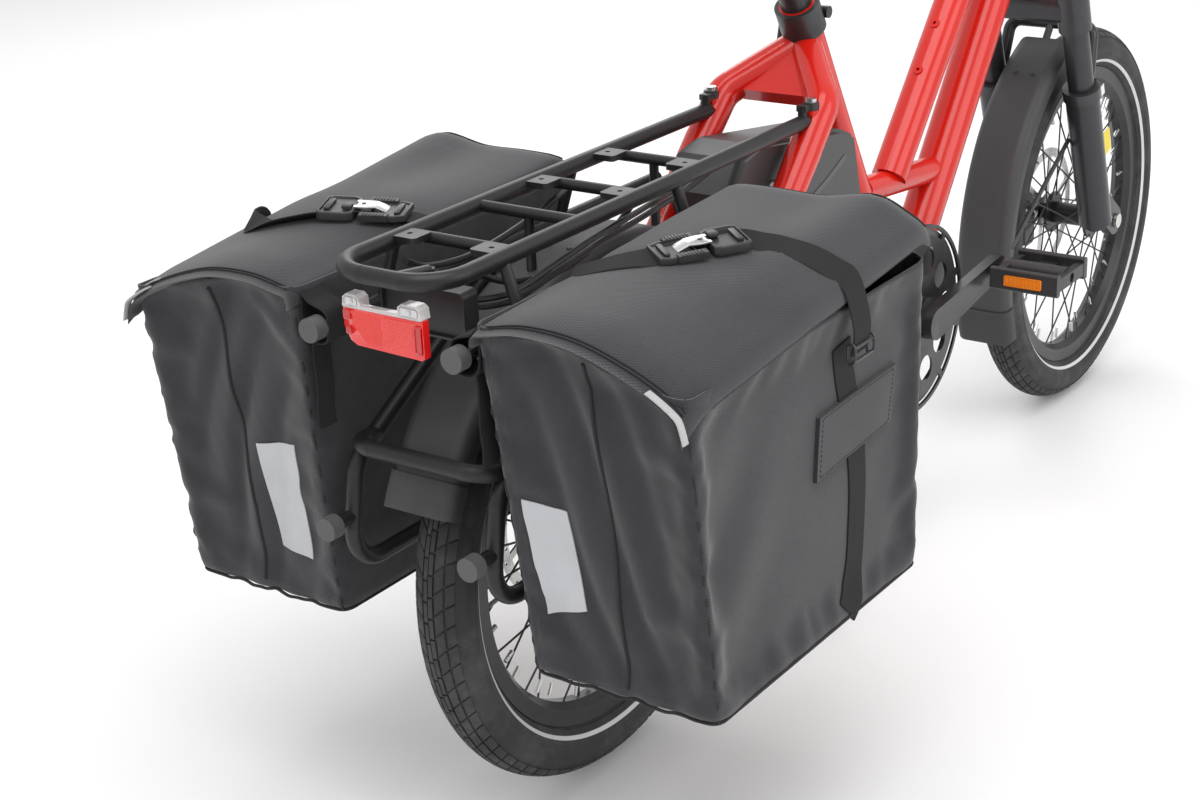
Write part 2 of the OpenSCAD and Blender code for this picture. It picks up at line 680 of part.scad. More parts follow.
module fork_lowers() color([0.16, 0.16, 0.17]) row() difference() {
    union() {
        both_sides() lower_leg(0);
        both_sides() translate([0, leg_y, 0]) {
            along_steer(leg_top_z - 14) cylinder(h = 16, r = lower_r + 2.5);
            along_steer(leg_low_z - 8) cylinder(h = 10, r = 14);
        }
        // Dropouts in front of the legs
        both_sides() xz_slab(leg_y - 7, leg_y + 7)
            link_shape([front_x, wheel_r], 20, [steer_foot.x - 6, leg_low_z + 30], 20);
        // Arch over the tyre
        bent_rod([[on_steer(leg_top_z).x + 16, leg_y + 2, leg_top_z - 14],
            arch_mid + [0, leg_y - 4, 0], arch_mid + [0, 4 - leg_y, 0],
            [on_steer(leg_top_z).x + 16, -leg_y - 2, leg_top_z - 14]], 16, arch_r);
    }
    both_sides() translate([0, leg_y, 0]) along_steer(leg_low_z + 12)
        cylinder(h = 240, r = stanchion_r + run_fit);
    on_front() y_rod(axle_r, -leg_y - 30, leg_y + 30);
    on_front() y_rod(front_end + 2, 8 - leg_y, leg_y - 8);
}

// ---------- steering top ----------

stem_z = head_z1 + 26;
bar_at = on_steer(1010) + [52, 0, 0];
bar_sweep = 42;
bar_half = 320;
module stem() color(dark) row() difference() {
    union() {
        along_steer(stem_z - 22) cylinder(h = 150, r = 20);
        rod(on_steer(stem_z + 106), bar_at, 17, 15);
        translate(bar_at) y_rod(21, -24, 24);
    }
    along_steer(stem_z - 40) cylinder(h = 90, r = steerer_r);
    translate(bar_at) y_rod(bar_clamp_r, -30, 30);
}
bar_line = [bar_at + [0, -110, 0], bar_at + [-bar_sweep, -bar_half, 12]];
bar_dir = unit(bar_line[1] - bar_line[0]);
module handlebar() color(dark) row() {
    bent_rod([bar_line[1], bar_line[0], [bar_at.x, 110, bar_at.z], [bar_line[1].x, bar_half, bar_line[1].z]],
        90, bar_tube_r);
    translate(bar_at) y_rod(bar_clamp_r, -32, 32);
}
bar_tube_r = 11.1;
bar_clamp_r = 15.9;             // where the stem holds the bar
grip_len = 120;
module grips() color(grey) row() both_sides() difference() {
    rod(bar_line[1] + bar_dir * 4, bar_line[1] - bar_dir * grip_len, 16);
    rod(bar_line[1] + bar_dir, bar_line[1] - bar_dir * (grip_len + 2), bar_tube_r + slip);
}
clamp_at = bar_line[1] - bar_dir * (grip_len + 22);
lever_pivot = clamp_at + [30, 0, -6];
module lever_clamps() color(dark) row() both_sides() difference() {
    union() {
        rod(clamp_at - bar_dir * 9, clamp_at + bar_dir * 9, 17);
        rod(clamp_at + [8, 0, -3], lever_pivot + [2, 0, 0], 8);
        translate(lever_pivot) cylinder(h = 22, r = 8, center = true);
        // Brake fluid reservoir
        rod(clamp_at + [22, 0, 2], clamp_at + [22, 0, 2] - bar_dir * 46, 9);
    }
    rod(clamp_at - bar_dir * 20, clamp_at + bar_dir * 20, bar_tube_r + slip);
    translate(lever_pivot) cylinder(h = 11 + 2 * gap, r = 11, center = true);
    translate(lever_pivot + [6, -20, 0]) cube([16, 40, 11 + 2 * gap], center = true);
}
module brake_lever() {
    difference() {
        union() {
            translate(lever_pivot) cylinder(h = 11, r = 9, center = true);
            bent_rod([lever_pivot, lever_pivot + [20, -44, 0], lever_pivot + [10, -138, 4]], 30, 5);
        }
        translate(lever_pivot) cylinder(h = 30, r = 3, center = true);
    }
}
module left_brake_lever() color(grey) row() mirror([0, 1, 0]) brake_lever();
module right_brake_lever() color(grey) row() brake_lever();

headlight_at = on_steer(700) + [62, 0, 0];
module headlight() color(dark) row() {
    translate(headlight_at) rotate([0, 90, 0]) cylinder(h = 34, r1 = 18, r2 = 25);
    translate(headlight_at) sphere(18);
    // Bracket down to a tab on the front of the fork crown
    rod(headlight_at + [4, 0, -14], on_steer(crown_z + 2) + steer_front * (crown_half + 5), 4);
    along_steer(crown_z + 2) translate([crown_half + 2.5, 0, 0]) cube([4.9, 16, 20], center = true);
}

// ---------- drive ----------

pitch = 12.7;
function cog_r(teeth) = pitch / (2 * sin(180 / teeth));
ring_r = cog_r(ring_teeth);
cog_pitch_r = cog_r(cog_teeth);
tooth_h = 3.6;
crank_angle = 7.5;
arm_y0 = 76;
arm_y1 = 90;
arm_end = [crank_x + crank_len * cos(crank_angle), crank_z + crank_len * sin(crank_angle)];
other_end = 2 * [crank_x, crank_z] - arm_end;

module toothed(teeth) {
    r = cog_r(teeth);
    polygon([for (k = [0:teeth - 1]) each [
        (r - tooth_h) * [cos(360 * (k - 0.30) / teeth), sin(360 * (k - 0.30) / teeth)],
        (r + tooth_h) * [cos(360 * (k - 0.10) / teeth), sin(360 * (k - 0.10) / teeth)],
        (r + tooth_h) * [cos(360 * (k + 0.10) / teeth), sin(360 * (k + 0.10) / teeth)],
        (r - tooth_h) * [cos(360 * (k + 0.30) / teeth), sin(360 * (k + 0.30) / teeth)]]]);
}

module crank_arms() color(dark) row() {
    on_crank() y_rod(spindle_r, -arm_y1 + 2, arm_y1 - 2);
    xz_slab(-arm_y1, -arm_y0) link_shape([crank_x, crank_z], 19, arm_end, 14);
    xz_slab(arm_y0, arm_y1) link_shape([crank_x, crank_z], 19, other_end, 14);
    translate([arm_end.x, 0, arm_end.y]) {
        y_rod(pedal_axle_r, -pedal_y1 + 4, -arm_y1 + 1);
        y_rod(9, -arm_y1 - 5, -arm_y1 + 1);
    }
    translate([other_end.x, 0, other_end.y]) {
        y_rod(pedal_axle_r, arm_y1 - 1, pedal_y1 - 4);
        y_rod(9, arm_y1 - 1, arm_y1 + 5);
    }
}

spider_n = 5;
module chainring() color(dark) row() on_crank() {
    translate([0, -chain_y, 0]) difference() {
        xz_slab(-1.1, 1.1) toothed(ring_teeth);
        y_rod(ring_r - 14, -5, 5);
    }
    translate([0, -chain_y - 6, 0]) difference() {
        y_rod(guard_r, -1.5, 1.5);
        y_rod(guard_r - 5, -5, 5);
    }
    // Spider: arms that carry the toothed ring and the guard ring
    difference() {
        xz_slab(-chain_y - 7.3, -chain_y - 4.7) difference() {
            union() {
                circle(ring_r - 4);
                for (k = [0:2 * spider_n - 1]) rotate(360 * (k + 0.5) / (2 * spider_n))
                    translate([0, -4]) square([guard_r - 2.5, 8]);
            }
            // Lightening windows between the arms
            for (k = [0:2 * spider_n - 1]) rotate(360 * k / (2 * spider_n))
                translate([70, 0]) circle(16);
        }
        y_rod(spindle_r, -90, 0);
    }
    difference() {
        y_rod(30, -arm_y0, -chain_y - 5);
        y_rod(spindle_r, -90, 0);
    }
    for (k = [0:spider_n - 1]) rotate([0, 360 * k / spider_n, 0])
        translate([ring_r - 9, 0, 0]) y_rod(4, -chain_y - 5, -chain_y + 1);
}

module loop_outline(grow)
    link_shape([crank_x, crank_z], ring_r + grow, [rear_x, wheel_r], cog_pitch_r + grow);
chain_half_h = 4.2;
module chain() color(silver) row() {
    for (y = [-chain_y - 3.1, -chain_y + 1.7]) xz_slab(y, y + 1.4) difference() {
        loop_outline(chain_half_h);
        loop_outline(-chain_half_h);
    }
    // Pins of the straight runs
    d = [crank_x - rear_x, crank_z - wheel_r];
    base = atan2(d.y, d.x);
    lean = acos((ring_r - cog_pitch_r) / norm(d));
    run = norm(d) * sin(lean);
    for (s = [-1, 1]) {
        out = base + 180 + s * lean;
        a = [crank_x, crank_z] + ring_r * [cos(out), sin(out)];
        b = [rear_x, wheel_r] + cog_pitch_r * [cos(out), sin(out)];
        for (k = [3:2:floor(run / pitch) - 2])
            translate([a.x + (b.x - a.x) * k * pitch / run, 0, a.y + (b.y - a.y) * k * pitch / run])
                y_rod(2, -chain_y - 3, -chain_y + 3);
    }
}

module rear_sprocket() color(silver) row() on_rear() difference() {
    union() {
        translate([0, -chain_y, 0]) xz_slab(-1.1, 1.1) toothed(cog_teeth);
        y_rod(17, -chain_y - 3, -46);
    }
    y_rod(axle_r + run_fit, -90, 0);
}

pedal_y0 = arm_y1 + 6;
pedal_y1 = 184;
pedal_len = 92;
pedal_h = 27;
module pedal() difference() {
    union() {
        y_rod(12, -pedal_y1 + 8, -pedal_y0);
        for (s = [-1, 1]) translate([s * (pedal_len / 2 - 5), 0, 0])
            xz_plate(10, pedal_h);
        for (y = [-pedal_y0 - 6, -pedal_y1 + 6]) translate([0, y, 0])
            cube([pedal_len - 8, 10, 16], center = true);
        translate([0, -(pedal_y0 + pedal_y1) / 2, 0]) cube([pedal_len - 8, 22, 8], center = true);
    }
    y_rod(pedal_axle_r + run_fit, -pedal_y1 - 5, 0);
}
module xz_plate(w, h) translate([0, -(pedal_y0 + pedal_y1) / 2, 0])
    rotate([90, 0, 0]) linear_extrude(pedal_y1 - pedal_y0 - 1, center = true) round_rect(w, h, 3);
module right_pedal() color(dark) row() translate([arm_end.x, 0, arm_end.y]) pedal();
module left_pedal() color(dark) row() translate([other_end.x, 0, other_end.y]) mirror([0, 1, 0]) pedal();

// ---------- seat ----------

clamp_z = 684;
clamp_wall = 5;
lever_hinge = on_seat(clamp_z) + [22, 24, 6];
module seat_clamp() color(dark) row() difference() {
    union() {
        along_seat(clamp_z - 14) cylinder(h = 34, r = seat_r + clamp_wall);
        rod(on_seat(clamp_z) + [20, -24, 4], on_seat(clamp_z) + [20, 24, 4], 6.5);
        // Cam block that the lever swings on
        translate(lever_hinge + [0, -1, 0]) cube([18, 5, 14.6], center = true);
        for (s = [-1, 1]) translate(lever_hinge + [s * 7.2, 5, 0]) cube([3, 14, 9], center = true);
    }
    along_seat(clamp_z - 40) cylinder(h = (seat_top.z - clamp_z + 40) / seat_dir.z, r = seat_r);
    along_seat(clamp_z - 40) cylinder(h = 120, r = post_r + run_fit);
}
module clamp_lever() color(silver) row() {
    rod(lever_hinge + [-5, 8, 0], lever_hinge + [5, 8, 0], 6);
    rod(lever_hinge + [0, 8, -2], lever_hinge + [-8, 9, -46], 4.5, 5.5);
}
seat_up = 225;                  // post above the clamp
module seatpost() color(dark) row() {
    along_seat(seat_top.z - 130) cylinder(h = 130 + seat_up, r = post_r);
    translate(saddle_at + [0, 0, -26.8]) rotate([90, 0, 0])
        linear_extrude(44, center = true) round_rect(46, 22, 8);
}
saddle_at = on_seat(seat_top.z) + seat_dir * (seat_up + 22);
module saddle() color([0.12, 0.12, 0.12]) row() {
    translate(saddle_at + [-8, 0, 26]) hull() {
        translate([-78, 0, 0]) linear_extrude(34, center = true) round_rect(90, 168, 40);
        translate([118, 0, 0]) linear_extrude(26, center = true) circle(20);
    }
    both_sides() bent_rod([saddle_at + [-95, 30, 14], saddle_at + [-50, 22, -12],
        saddle_at + [60, 22, -12], saddle_at + [100, 12, 14]], 20, 3.5);
}

// ---------- centre stand ----------

stand_pivot = [-225, 0, 178];
stand_foot = [-212, 54, 0];
stand_r = 9;
pad_r = 12;
stand_half = 27;                // half the width of the bracket that carries the stand
module centre_stand() color(dark) row() {
    translate(stand_pivot) y_rod(stand_r, -stand_half - 14, stand_half + 14);
    both_sides() {
        difference() {
            bent_rod([stand_pivot + [0, stand_half + 11, 0], stand_pivot + [6, stand_half + 15, -80],
                stand_foot + [0, 0, 4]], 34, stand_r - 0.5);
            translate(stand_foot + [-50, -50, -40]) cube([100, 100, 40]);
        }
        translate(stand_foot) cylinder(h = 14, r = pad_r);
    }
}
// Bracket under the chain stays, bored for the stand's pivot tube
module stand_bracket() difference() {
    xz_slab(-stand_half, stand_half)
        link_shape([stand_pivot.x, stand_pivot.z], 15, [stand_pivot.x + 4, 282], 17);
    translate(stand_pivot) y_rod(stand_r + run_fit, -60, 60);
    translate([stand_pivot.x, 0, 232]) cube([60, 34, 60], center = true);
    // Room for the tyre behind it
    on_rear() y_rod(wheel_r + 12, -60, 60);
}

// ---------- bags ----------

bag_in_low = 110;
bag_in_top = 98;
bag_out = bag_in_low + bag_w;
bag_front = bag_rear + bag_len;
bag_rim = bag_z + bag_h;        // outer edge of the open top
bag_rim_in = bag_rim + 30;      // inner edge, next to the rack
module bag_side(w, lift) polygon([[bag_rear + w, bag_z + w], [bag_front - w, bag_z + w],
    [bag_front + 6 - w, bag_rim_in + lift], [bag_rear_top + w, bag_rim_in + lift]]);
module bag_end(w, lift) polygon([[bag_in_low + w, bag_z + w], [bag_out - w, bag_z + w],
    [bag_out - w, bag_rim + lift], [bag_in_top + 84, bag_rim_in + lift],
    [bag_in_top + w, bag_rim_in + lift]]);
module bag_form(w, lift) intersection() {
    xz_slab(0, bag_out + 10) bag_side(w, lift);
    yz_slab(bag_rear - 100, bag_front + 100) bag_end(w, lift);
}
module bag() difference() {
    bag_form(0, 0);
    bag_form(bag_wall, 30);
}
module left_bag() color(cloth) row() bag();
module right_bag() color(cloth) row() mirror([0, 1, 0]) bag();

lid_gap = 0.6;
lip_h = 14;                     // edge of the lid, turned down outside
lid_front = bag_front + 14;
lid_hinge_y = bag_in_top;
lid_hinge_z = bag_rim_in + lid_gap + lid_t / 2;
// Folded roll over the mouth, with its edge turned down over the outer face
module lid() yz_slab(lid_rear, lid_front) polygon([
    [bag_in_top - 2, bag_rim_in + lid_gap], [bag_in_top + 84, bag_rim_in + lid_gap],
    [bag_out + lid_gap, bag_rim + lid_gap], [bag_out + lid_gap, bag_rim - lip_h],
    [bag_out + lid_gap + 6, bag_rim - lip_h], [bag_out + lid_gap + 6, bag_rim + 4],
    [bag_in_top + 88, bag_rim_in + lid_gap + lid_t], [bag_in_top - 2, bag_rim_in + lid_gap + lid_t]]);
module left_lid() color(cloth) row() lid();
module right_lid() color(cloth) row() mirror([0, 1, 0]) lid();

strap_x = rear_x - 95.5;
strap_t = 2;
module lid_strap() {
    translate([strap_x, 0, 0]) yz_slab(-webbing_w / 2, webbing_w / 2) polygon([
        [bag_in_top, bag_rim_in + lid_gap + lid_t], [bag_in_top + 88, bag_rim_in + lid_gap + lid_t],
        [bag_out + lid_gap + 6, bag_rim + 4], [bag_out + lid_gap + 6, bag_rim - lip_h],
        [bag_out + lid_gap + 6 + strap_t, bag_rim - lip_h], [bag_out + lid_gap + 6 + strap_t, bag_rim + 6],
        [bag_in_top + 89, bag_rim_in + lid_gap + lid_t + strap_t],
        [bag_in_top, bag_rim_in + lid_gap + lid_t + strap_t]]);
    translate([strap_x, bag_in_top + 62, bag_rim_in + lid_gap + lid_t + 6])
        linear_extrude(9, center = true) round_rect(44, 66, 6);
}
module left_lid_strap() color([0.06, 0.06, 0.06]) row() lid_strap();
module right_lid_strap() color([0.06, 0.06, 0.06]) row() mirror([0, 1, 0]) lid_strap();

// ---------- cables ----------

cable_r = 3;
// Points as distances behind the rear axle
cable_run = [[-215, -32, 562], [-205, -42, 560], [-179.5, -56, 562], [-119.5, -60, 572],
    [-59.5, -58, 578], [30.5, -50, 580], [120.5, -40, 582], [190.5, -36, 592]];
light_cable = [for (p = cable_run) [rear_x + p.x, p.y, p.z]];
module rear_cables() color(dark) row() {
    cord(light_cable, cable_r);
    cord([for (p = light_cable) p + [6, 3, -9]], cable_r);
}

// ---------- what is drawn ----------

head_tube();
down_tube();
top_tube();
seat_tube();
seat_stays();
chain_stays();
motor_unit();
battery_pack();
rack_deck();
rack_side_frames();
rack_bolts();
parking_feet();
tail_light_body();
tail_light_lens();
rear_fender();
rear_mudflap();
rear_axle();
rear_caliper();
chain();
seat_clamp();
rear_cables();
left_bag();
right_bag();
left_lid();
right_lid();
left_lid_strap();
right_lid_strap();
fork_crown();
stem();
handlebar();
grips();
lever_clamps();
headlight();
fork_lowers();
front_axle();
front_fender();
front_mudflap();
front_caliper();
front_tyre();
front_rim();
front_spokes();
front_hub();
front_disc();
rear_tyre();
rear_rim();
rear_spokes();
rear_hub();
rear_disc();
rear_sprocket();
crank_arms();
chainring();
right_pedal();
left_pedal();
left_brake_lever();
right_brake_lever();
centre_stand();
seatpost();
saddle();
clamp_lever();
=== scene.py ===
import json
import math

import bpy
from bpy.props import FloatProperty, FloatVectorProperty, IntProperty, PointerProperty
from mathutils import Matrix, Vector
from mathutils.bvhtree import BVHTree


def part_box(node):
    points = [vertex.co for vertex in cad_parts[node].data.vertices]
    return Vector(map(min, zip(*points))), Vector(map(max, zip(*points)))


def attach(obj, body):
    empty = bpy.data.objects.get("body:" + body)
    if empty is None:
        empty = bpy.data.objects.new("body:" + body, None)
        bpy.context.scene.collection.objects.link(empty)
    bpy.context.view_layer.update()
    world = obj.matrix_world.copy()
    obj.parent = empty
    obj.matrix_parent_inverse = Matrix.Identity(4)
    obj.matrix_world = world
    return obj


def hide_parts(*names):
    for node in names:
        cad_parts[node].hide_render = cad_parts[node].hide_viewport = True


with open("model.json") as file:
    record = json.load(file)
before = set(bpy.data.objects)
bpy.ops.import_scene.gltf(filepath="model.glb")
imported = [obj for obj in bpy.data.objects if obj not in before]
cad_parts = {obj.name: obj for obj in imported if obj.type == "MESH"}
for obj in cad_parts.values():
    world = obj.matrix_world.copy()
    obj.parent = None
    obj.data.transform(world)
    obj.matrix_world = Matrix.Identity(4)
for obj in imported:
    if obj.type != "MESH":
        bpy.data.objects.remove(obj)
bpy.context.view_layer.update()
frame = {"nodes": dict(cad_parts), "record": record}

bl_info = {
    "name": "Cargo Bicycle Looks",
    "version": (1, 0, 0),
    "blender": (4, 5, 0),
    "location": "3D View > Sidebar > Cargo Bicycle",
    "description": "Builds the finishes and fine pieces of a cargo bicycle around its packed frame",
    "category": "Object",
}

MM = 0.001
X, Y, Z = Vector((1, 0, 0)), Vector((0, 1, 0)), Vector((0, 0, 1))


def middle(node):
    low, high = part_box(node)
    return (low + high) / 2


FRONT_HUB, REAR_HUB = middle("front_tyre"), middle("rear_tyre")
MID_X = (FRONT_HUB.x + REAR_HUB.x) / 2
WHEEL_R = FRONT_HUB.z


def at(x, y, z):
    """A point given in millimetres from the middle of the wheelbase."""
    return Vector((MID_X + x * MM, y * MM, z * MM))


# ---------- settings ----------

class FinishSettings(bpy.types.PropertyGroup):
    paint: FloatVectorProperty(name="Frame paint", description="Colour of the gloss paint on the frame",
                               default=(0.62, 0.010, 0.003), subtype="COLOR", min=0, max=1)
    cloth: FloatVectorProperty(name="Bag cloth", description="Colour of the woven bag cloth",
                               default=(0.022, 0.0205, 0.0245), subtype="COLOR", min=0, max=1)
    strap: FloatVectorProperty(name="Webbing", description="Colour of the ribbed webbing",
                               default=(0.017, 0.018, 0.017), subtype="COLOR", min=0, max=1)
    powder: FloatVectorProperty(name="Powder coat", description="Colour of the rack's satin coat",
                                default=(0.014, 0.014, 0.015), subtype="COLOR", min=0, max=1)
    reflector: FloatVectorProperty(name="Reflector", description="Colour of the rear reflector",
                                   default=(0.80, 0.012, 0.012), subtype="COLOR", min=0, max=1)


class BagSettings(bpy.types.PropertyGroup):
    swell: FloatProperty(name="Swell", description="Furthest that simulated cloth may leave its cut shape",
                         default=0.011, min=0, max=0.02, unit="LENGTH")
    pressure: FloatProperty(name="Pressure", description="How hard the load pushes the cloth out",
                            default=3.5, min=0, max=10)
    crease: FloatProperty(name="Crease", description="Depth of the drawn folds in the bag walls",
                          default=0.0045, min=0, max=0.01, unit="LENGTH")
    piping: FloatProperty(name="Piping", description="Radius of the seam piping",
                          default=0.0016, min=0.0008, max=0.003, unit="LENGTH")


class WheelSettings(bpy.types.PropertyGroup):
    rows: IntProperty(name="Tread rows", description="Blocks around each tyre", default=78, min=40, max=110)
    tread: FloatProperty(name="Tread depth", description="Height of the tread blocks",
                         default=0.0018, min=0.0008, max=0.003, unit="LENGTH")
    stripe: FloatProperty(name="Stripe", description="Width of the reflective stripe on the tyre walls",
                          default=0.0045, min=0.002, max=0.008, unit="LENGTH")


class StageSettings(bpy.types.PropertyGroup):
    sky: FloatProperty(name="Sky", description="Strength of the white surroundings", default=0.80,
                       min=0, max=3)
    key: FloatProperty(name="Key light", description="Power of the large overhead light",
                       default=60, min=0, max=400, unit="POWER")


def setting(group):
    return getattr(bpy.context.scene, "cargo_" + group)


# ---------- shapes: each returns (points, faces, uvs), uvs given per point in metres ----------

def swept(path, section, side=None, closed=False, caps=True):
    """A section of (across, out) pairs carried along a path; side fixes the across direction."""
    path = [Vector(p) for p in path]
    n, m = len(path), len(section)
    across = None
    points, uvs, run = [], [], 0.0
    for i, p in enumerate(path):
        before = path[i - 1] if i or closed else p
        after = path[(i + 1) % n] if i < n - 1 or closed else p
        along = (after - before).normalized()
        if side is not None:
            want = side[i] if isinstance(side, list) else side
        else:
            want = across if across is not None else (Z if abs(along.z) < 0.9 else X).cross(along)
        across = (want - along * want.dot(along)).normalized()
        out = along.cross(across)
        if i:
            run += (p - path[i - 1]).length
        width = 0.0
        for k, (a, b) in enumerate(section):
            if k:
                width += math.dist(section[k], section[k - 1])
            points.append(p + across * a + out * b)
            uvs.append((width, run))
    faces = []
    for i in range(n if closed else n - 1):
        j = (i + 1) % n
        for k in range(m):
            q = (k + 1) % m
            faces.append((i * m + k, i * m + q, j * m + q, j * m + k))
    if caps and not closed:
        faces.append(tuple(range(m - 1, -1, -1)))
        faces.append(tuple((n - 1) * m + k for k in range(m)))
    return points, faces, uvs


def ring_section(radius, sides=10):
    return [(radius * math.cos(2 * math.pi * k / sides), radius * math.sin(2 * math.pi * k / sides))
            for k in range(sides)]


def strap_section(width, thick):
    """A flat strap with rounded selvedges."""
    w, t, r = width / 2, thick / 2, thick * 0.6
    return [(-w, 0), (-w + r, -t), (w - r, -t), (w, 0), (w - r, t), (-w + r, t)]


def turned(profile, place, steps=48, angle=2 * math.pi, start=0.0):
    """A profile of (radius, height) turned about Z, then placed."""
    closed = angle > 6.28
    n, m = steps if closed else steps + 1, len(profile)
    points, uvs = [], []
    for i in range(n):
        a = start + angle * i / steps
        run = 0.0
        for k, (r, h) in enumerate(profile):
            if k:
                run += math.dist(profile[k], profile[k - 1])
            points.append(place @ Vector((r * math.cos(a), r * math.sin(a), h)))
            uvs.append((run, r * (a - start)))
    faces = []
    for i in range(n if closed else n - 1):
        j = (i + 1) % n
        for k in range(m - 1):
            faces.append((i * m + k, j * m + k, j * m + k + 1, i * m + k + 1))
    return points, faces, uvs


def slab(outline, height, place, bevel=0.0, sink=0.0):
    """An outline in X and Y given thickness along Z, with a bevelled top; sink dishes the top."""
    n = len(outline)
    c = Vector((sum(p[0] for p in outline) / n, sum(p[1] for p in outline) / n))
    size = max((Vector(p) - c).length for p in outline)
    rings = [(0.0, 0.0), (0.0, height - bevel)]
    if bevel:
        rings.append((bevel * 0.3, height - bevel * 0.3))
    rings.append((bevel, height))
    if sink:
        rings += [(bevel * 2.2, height), (bevel * 2.8, height - sink)]
    points = []
    for inset, z in rings:
        keep = 1 - inset / size
        for p in outline:
            q = c + (Vector(p[:2]) - c) * keep
            points.append(place @ Vector((q.x, q.y, z)))
    faces = [tuple(range(n - 1, -1, -1)), tuple((len(rings) - 1) * n + k for k in range(n))]
    for i in range(len(rings) - 1):
        for k in range(n):
            q = (k + 1) % n
            faces.append((i * n + k, i * n + q, (i + 1) * n + q, (i + 1) * n + k))
    return points, faces, [(0, 0)] * len(points)


def rounded(w, h, r, steps=5):
    """A rounded rectangle's outline."""
    out = []
    for cx, cy, a0 in ((w / 2 - r, h / 2 - r, 0), (r - w / 2, h / 2 - r, 90),
                       (r - w / 2, r - h / 2, 180), (w / 2 - r, r - h / 2, 270)):
        for k in range(steps + 1):
            a = math.radians(a0 + 90 * k / steps)
            out.append((cx + r * math.cos(a), cy + r * math.sin(a)))
    return out


def circle(r, n=24):
    return [(r * math.cos(2 * math.pi * k / n), r * math.sin(2 * math.pi * k / n)) for k in range(n)]


def facing(origin, normal, up=Z):
    """A placement whose Z points along normal and whose Y leans towards up."""
    z = normal.normalized()
    x = up.cross(z)
    x = x.normalized() if x.length > 1e-6 else X.copy()
    y = z.cross(x)
    return Matrix(((x.x, y.x, z.x, origin.x), (x.y, y.y, z.y, origin.y), (x.z, y.z, z.z, origin.z),
                   (0, 0, 0, 1)))


def curve_through(points, steps=8, closed=False):
    """A smooth line through the points."""
    p = [Vector(q) for q in points]
    n = len(p)
    out = []
    for i in range(n if closed else n - 1):
        a = p[(i - 1) % n] if i or closed else p[i]
        b, c = p[i], p[(i + 1) % n]
        d = p[(i + 2) % n] if i < n - 2 or closed else c
        for k in range(steps):
            t = k / steps
            out.append(0.5 * (2 * b + (c - a) * t + (2 * a - 5 * b + 4 * c - d) * t * t
                              + (3 * b - a - 3 * c + d) * t ** 3))
    if not closed:
        out.append(p[-1])
    return out


def laid(cloth, rows, direction, lift, sink=0.0005):
    """A thin sheet dropped on a piece of cloth: rows of points are moved along direction onto it."""
    direction = direction.normalized()
    top = []
    for row in rows:
        line = []
        for p in row:
            hit = cloth.ray_cast(p - direction * 0.06, direction, 0.12)[0]
            line.append((hit or p) - direction * lift)
        top.append(line)
    m, n = len(top), len(top[0])
    points = [p for line in top for p in line]
    uvs = []
    for i, line in enumerate(top):
        for j, p in enumerate(line):
            uvs.append(((p - line[0]).length, (p - top[0][j]).length))
    faces = [(i * n + j, i * n + j + 1, (i + 1) * n + j + 1, (i + 1) * n + j)
             for i in range(m - 1) for j in range(n - 1)]
    border = ([j for j in range(n)] + [i * n + n - 1 for i in range(1, m)]
              + [(m - 1) * n + j for j in range(n - 2, -1, -1)] + [i * n for i in range(m - 2, 0, -1)])
    base = len(points)
    points += [points[k] + direction * (lift + sink) for k in border]
    uvs += [uvs[k] for k in border]
    for k in range(len(border)):
        q = (k + 1) % len(border)
        faces.append((border[k], base + k, base + q, border[q]))
    return points, faces, uvs


def between(corners, rows, columns):
    """Rows of points over a patch; its four corners go round from the top left."""
    a, b, c, d = (Vector(q) for q in corners)
    return [[(a.lerp(b, j / columns)).lerp(d.lerp(c, j / columns), i / rows) for j in range(columns + 1)]
            for i in range(rows + 1)]


def band(path, width, columns=4, across=None):
    """Rows of points over a strap of a width along a path; across is its side direction."""
    path = [Vector(q) for q in path]
    rows = []
    for k, p in enumerate(path):
        along = (path[min(k + 1, len(path) - 1)] - path[max(k - 1, 0)]).normalized()
        side = (across - along * across.dot(along)).normalized()
        rows.append([p + side * width * (j / columns - 0.5) for j in range(columns + 1)])
    return rows


def mirrored(shape):
    points, faces, uvs = shape
    return [Vector((p.x, -p.y, p.z)) for p in points], [tuple(reversed(f)) for f in faces], uvs


class Mould:
    """Gathers shapes into one piece; each shape keeps its own finish."""

    def __init__(self, name):
        self.name, self.points, self.faces, self.uvs, self.finishes, self.marks = name, [], [], [], [], []

    def add(self, shape, finish, flip=False):
        points, faces, uvs = shape
        base = len(self.points)
        if finish not in self.finishes:
            self.finishes.append(finish)
        mark = self.finishes.index(finish)
        self.points += [Vector(p) for p in points]
        self.uvs += list(uvs)
        for f in faces:
            self.faces.append(tuple(base + k for k in (reversed(f) if flip else f)))
            self.marks.append(mark)
        return self

    def piece(self, body, replaces=(), sharp=35):
        mesh = bpy.data.meshes.new(self.name)
        mesh.from_pydata(self.points, [], self.faces)
        layer = mesh.uv_layers.new(name="cut")
        for loop in mesh.loops:
            layer.data[loop.index].uv = self.uvs[loop.vertex_index]
        for f in self.finishes:
            mesh.materials.append(finish(f))
        mesh.polygons.foreach_set("material_index", self.marks)
        mesh.shade_smooth()
        mesh.set_sharp_from_angle(angle=math.radians(sharp))
        obj = bpy.data.objects.new(self.name, mesh)
        bpy.context.scene.collection.objects.link(obj)
        return settle(obj, body, replaces)


def settle(obj, body, replaces=()):
    """Rides a piece on its body and hides the CAD parts that it replaces."""
    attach(obj, body)
    if replaces:
        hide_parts(*replaces)
    return obj


# ---------- finishes ----------

def add_node(tree, kind, **values):
    node = tree.nodes.new(kind)
    for key, value in values.items():
        if hasattr(node, key) and key not in node.inputs:
            setattr(node, key, value)
        else:
            node.inputs[key.replace("_", " ")].default_value = value
    return node


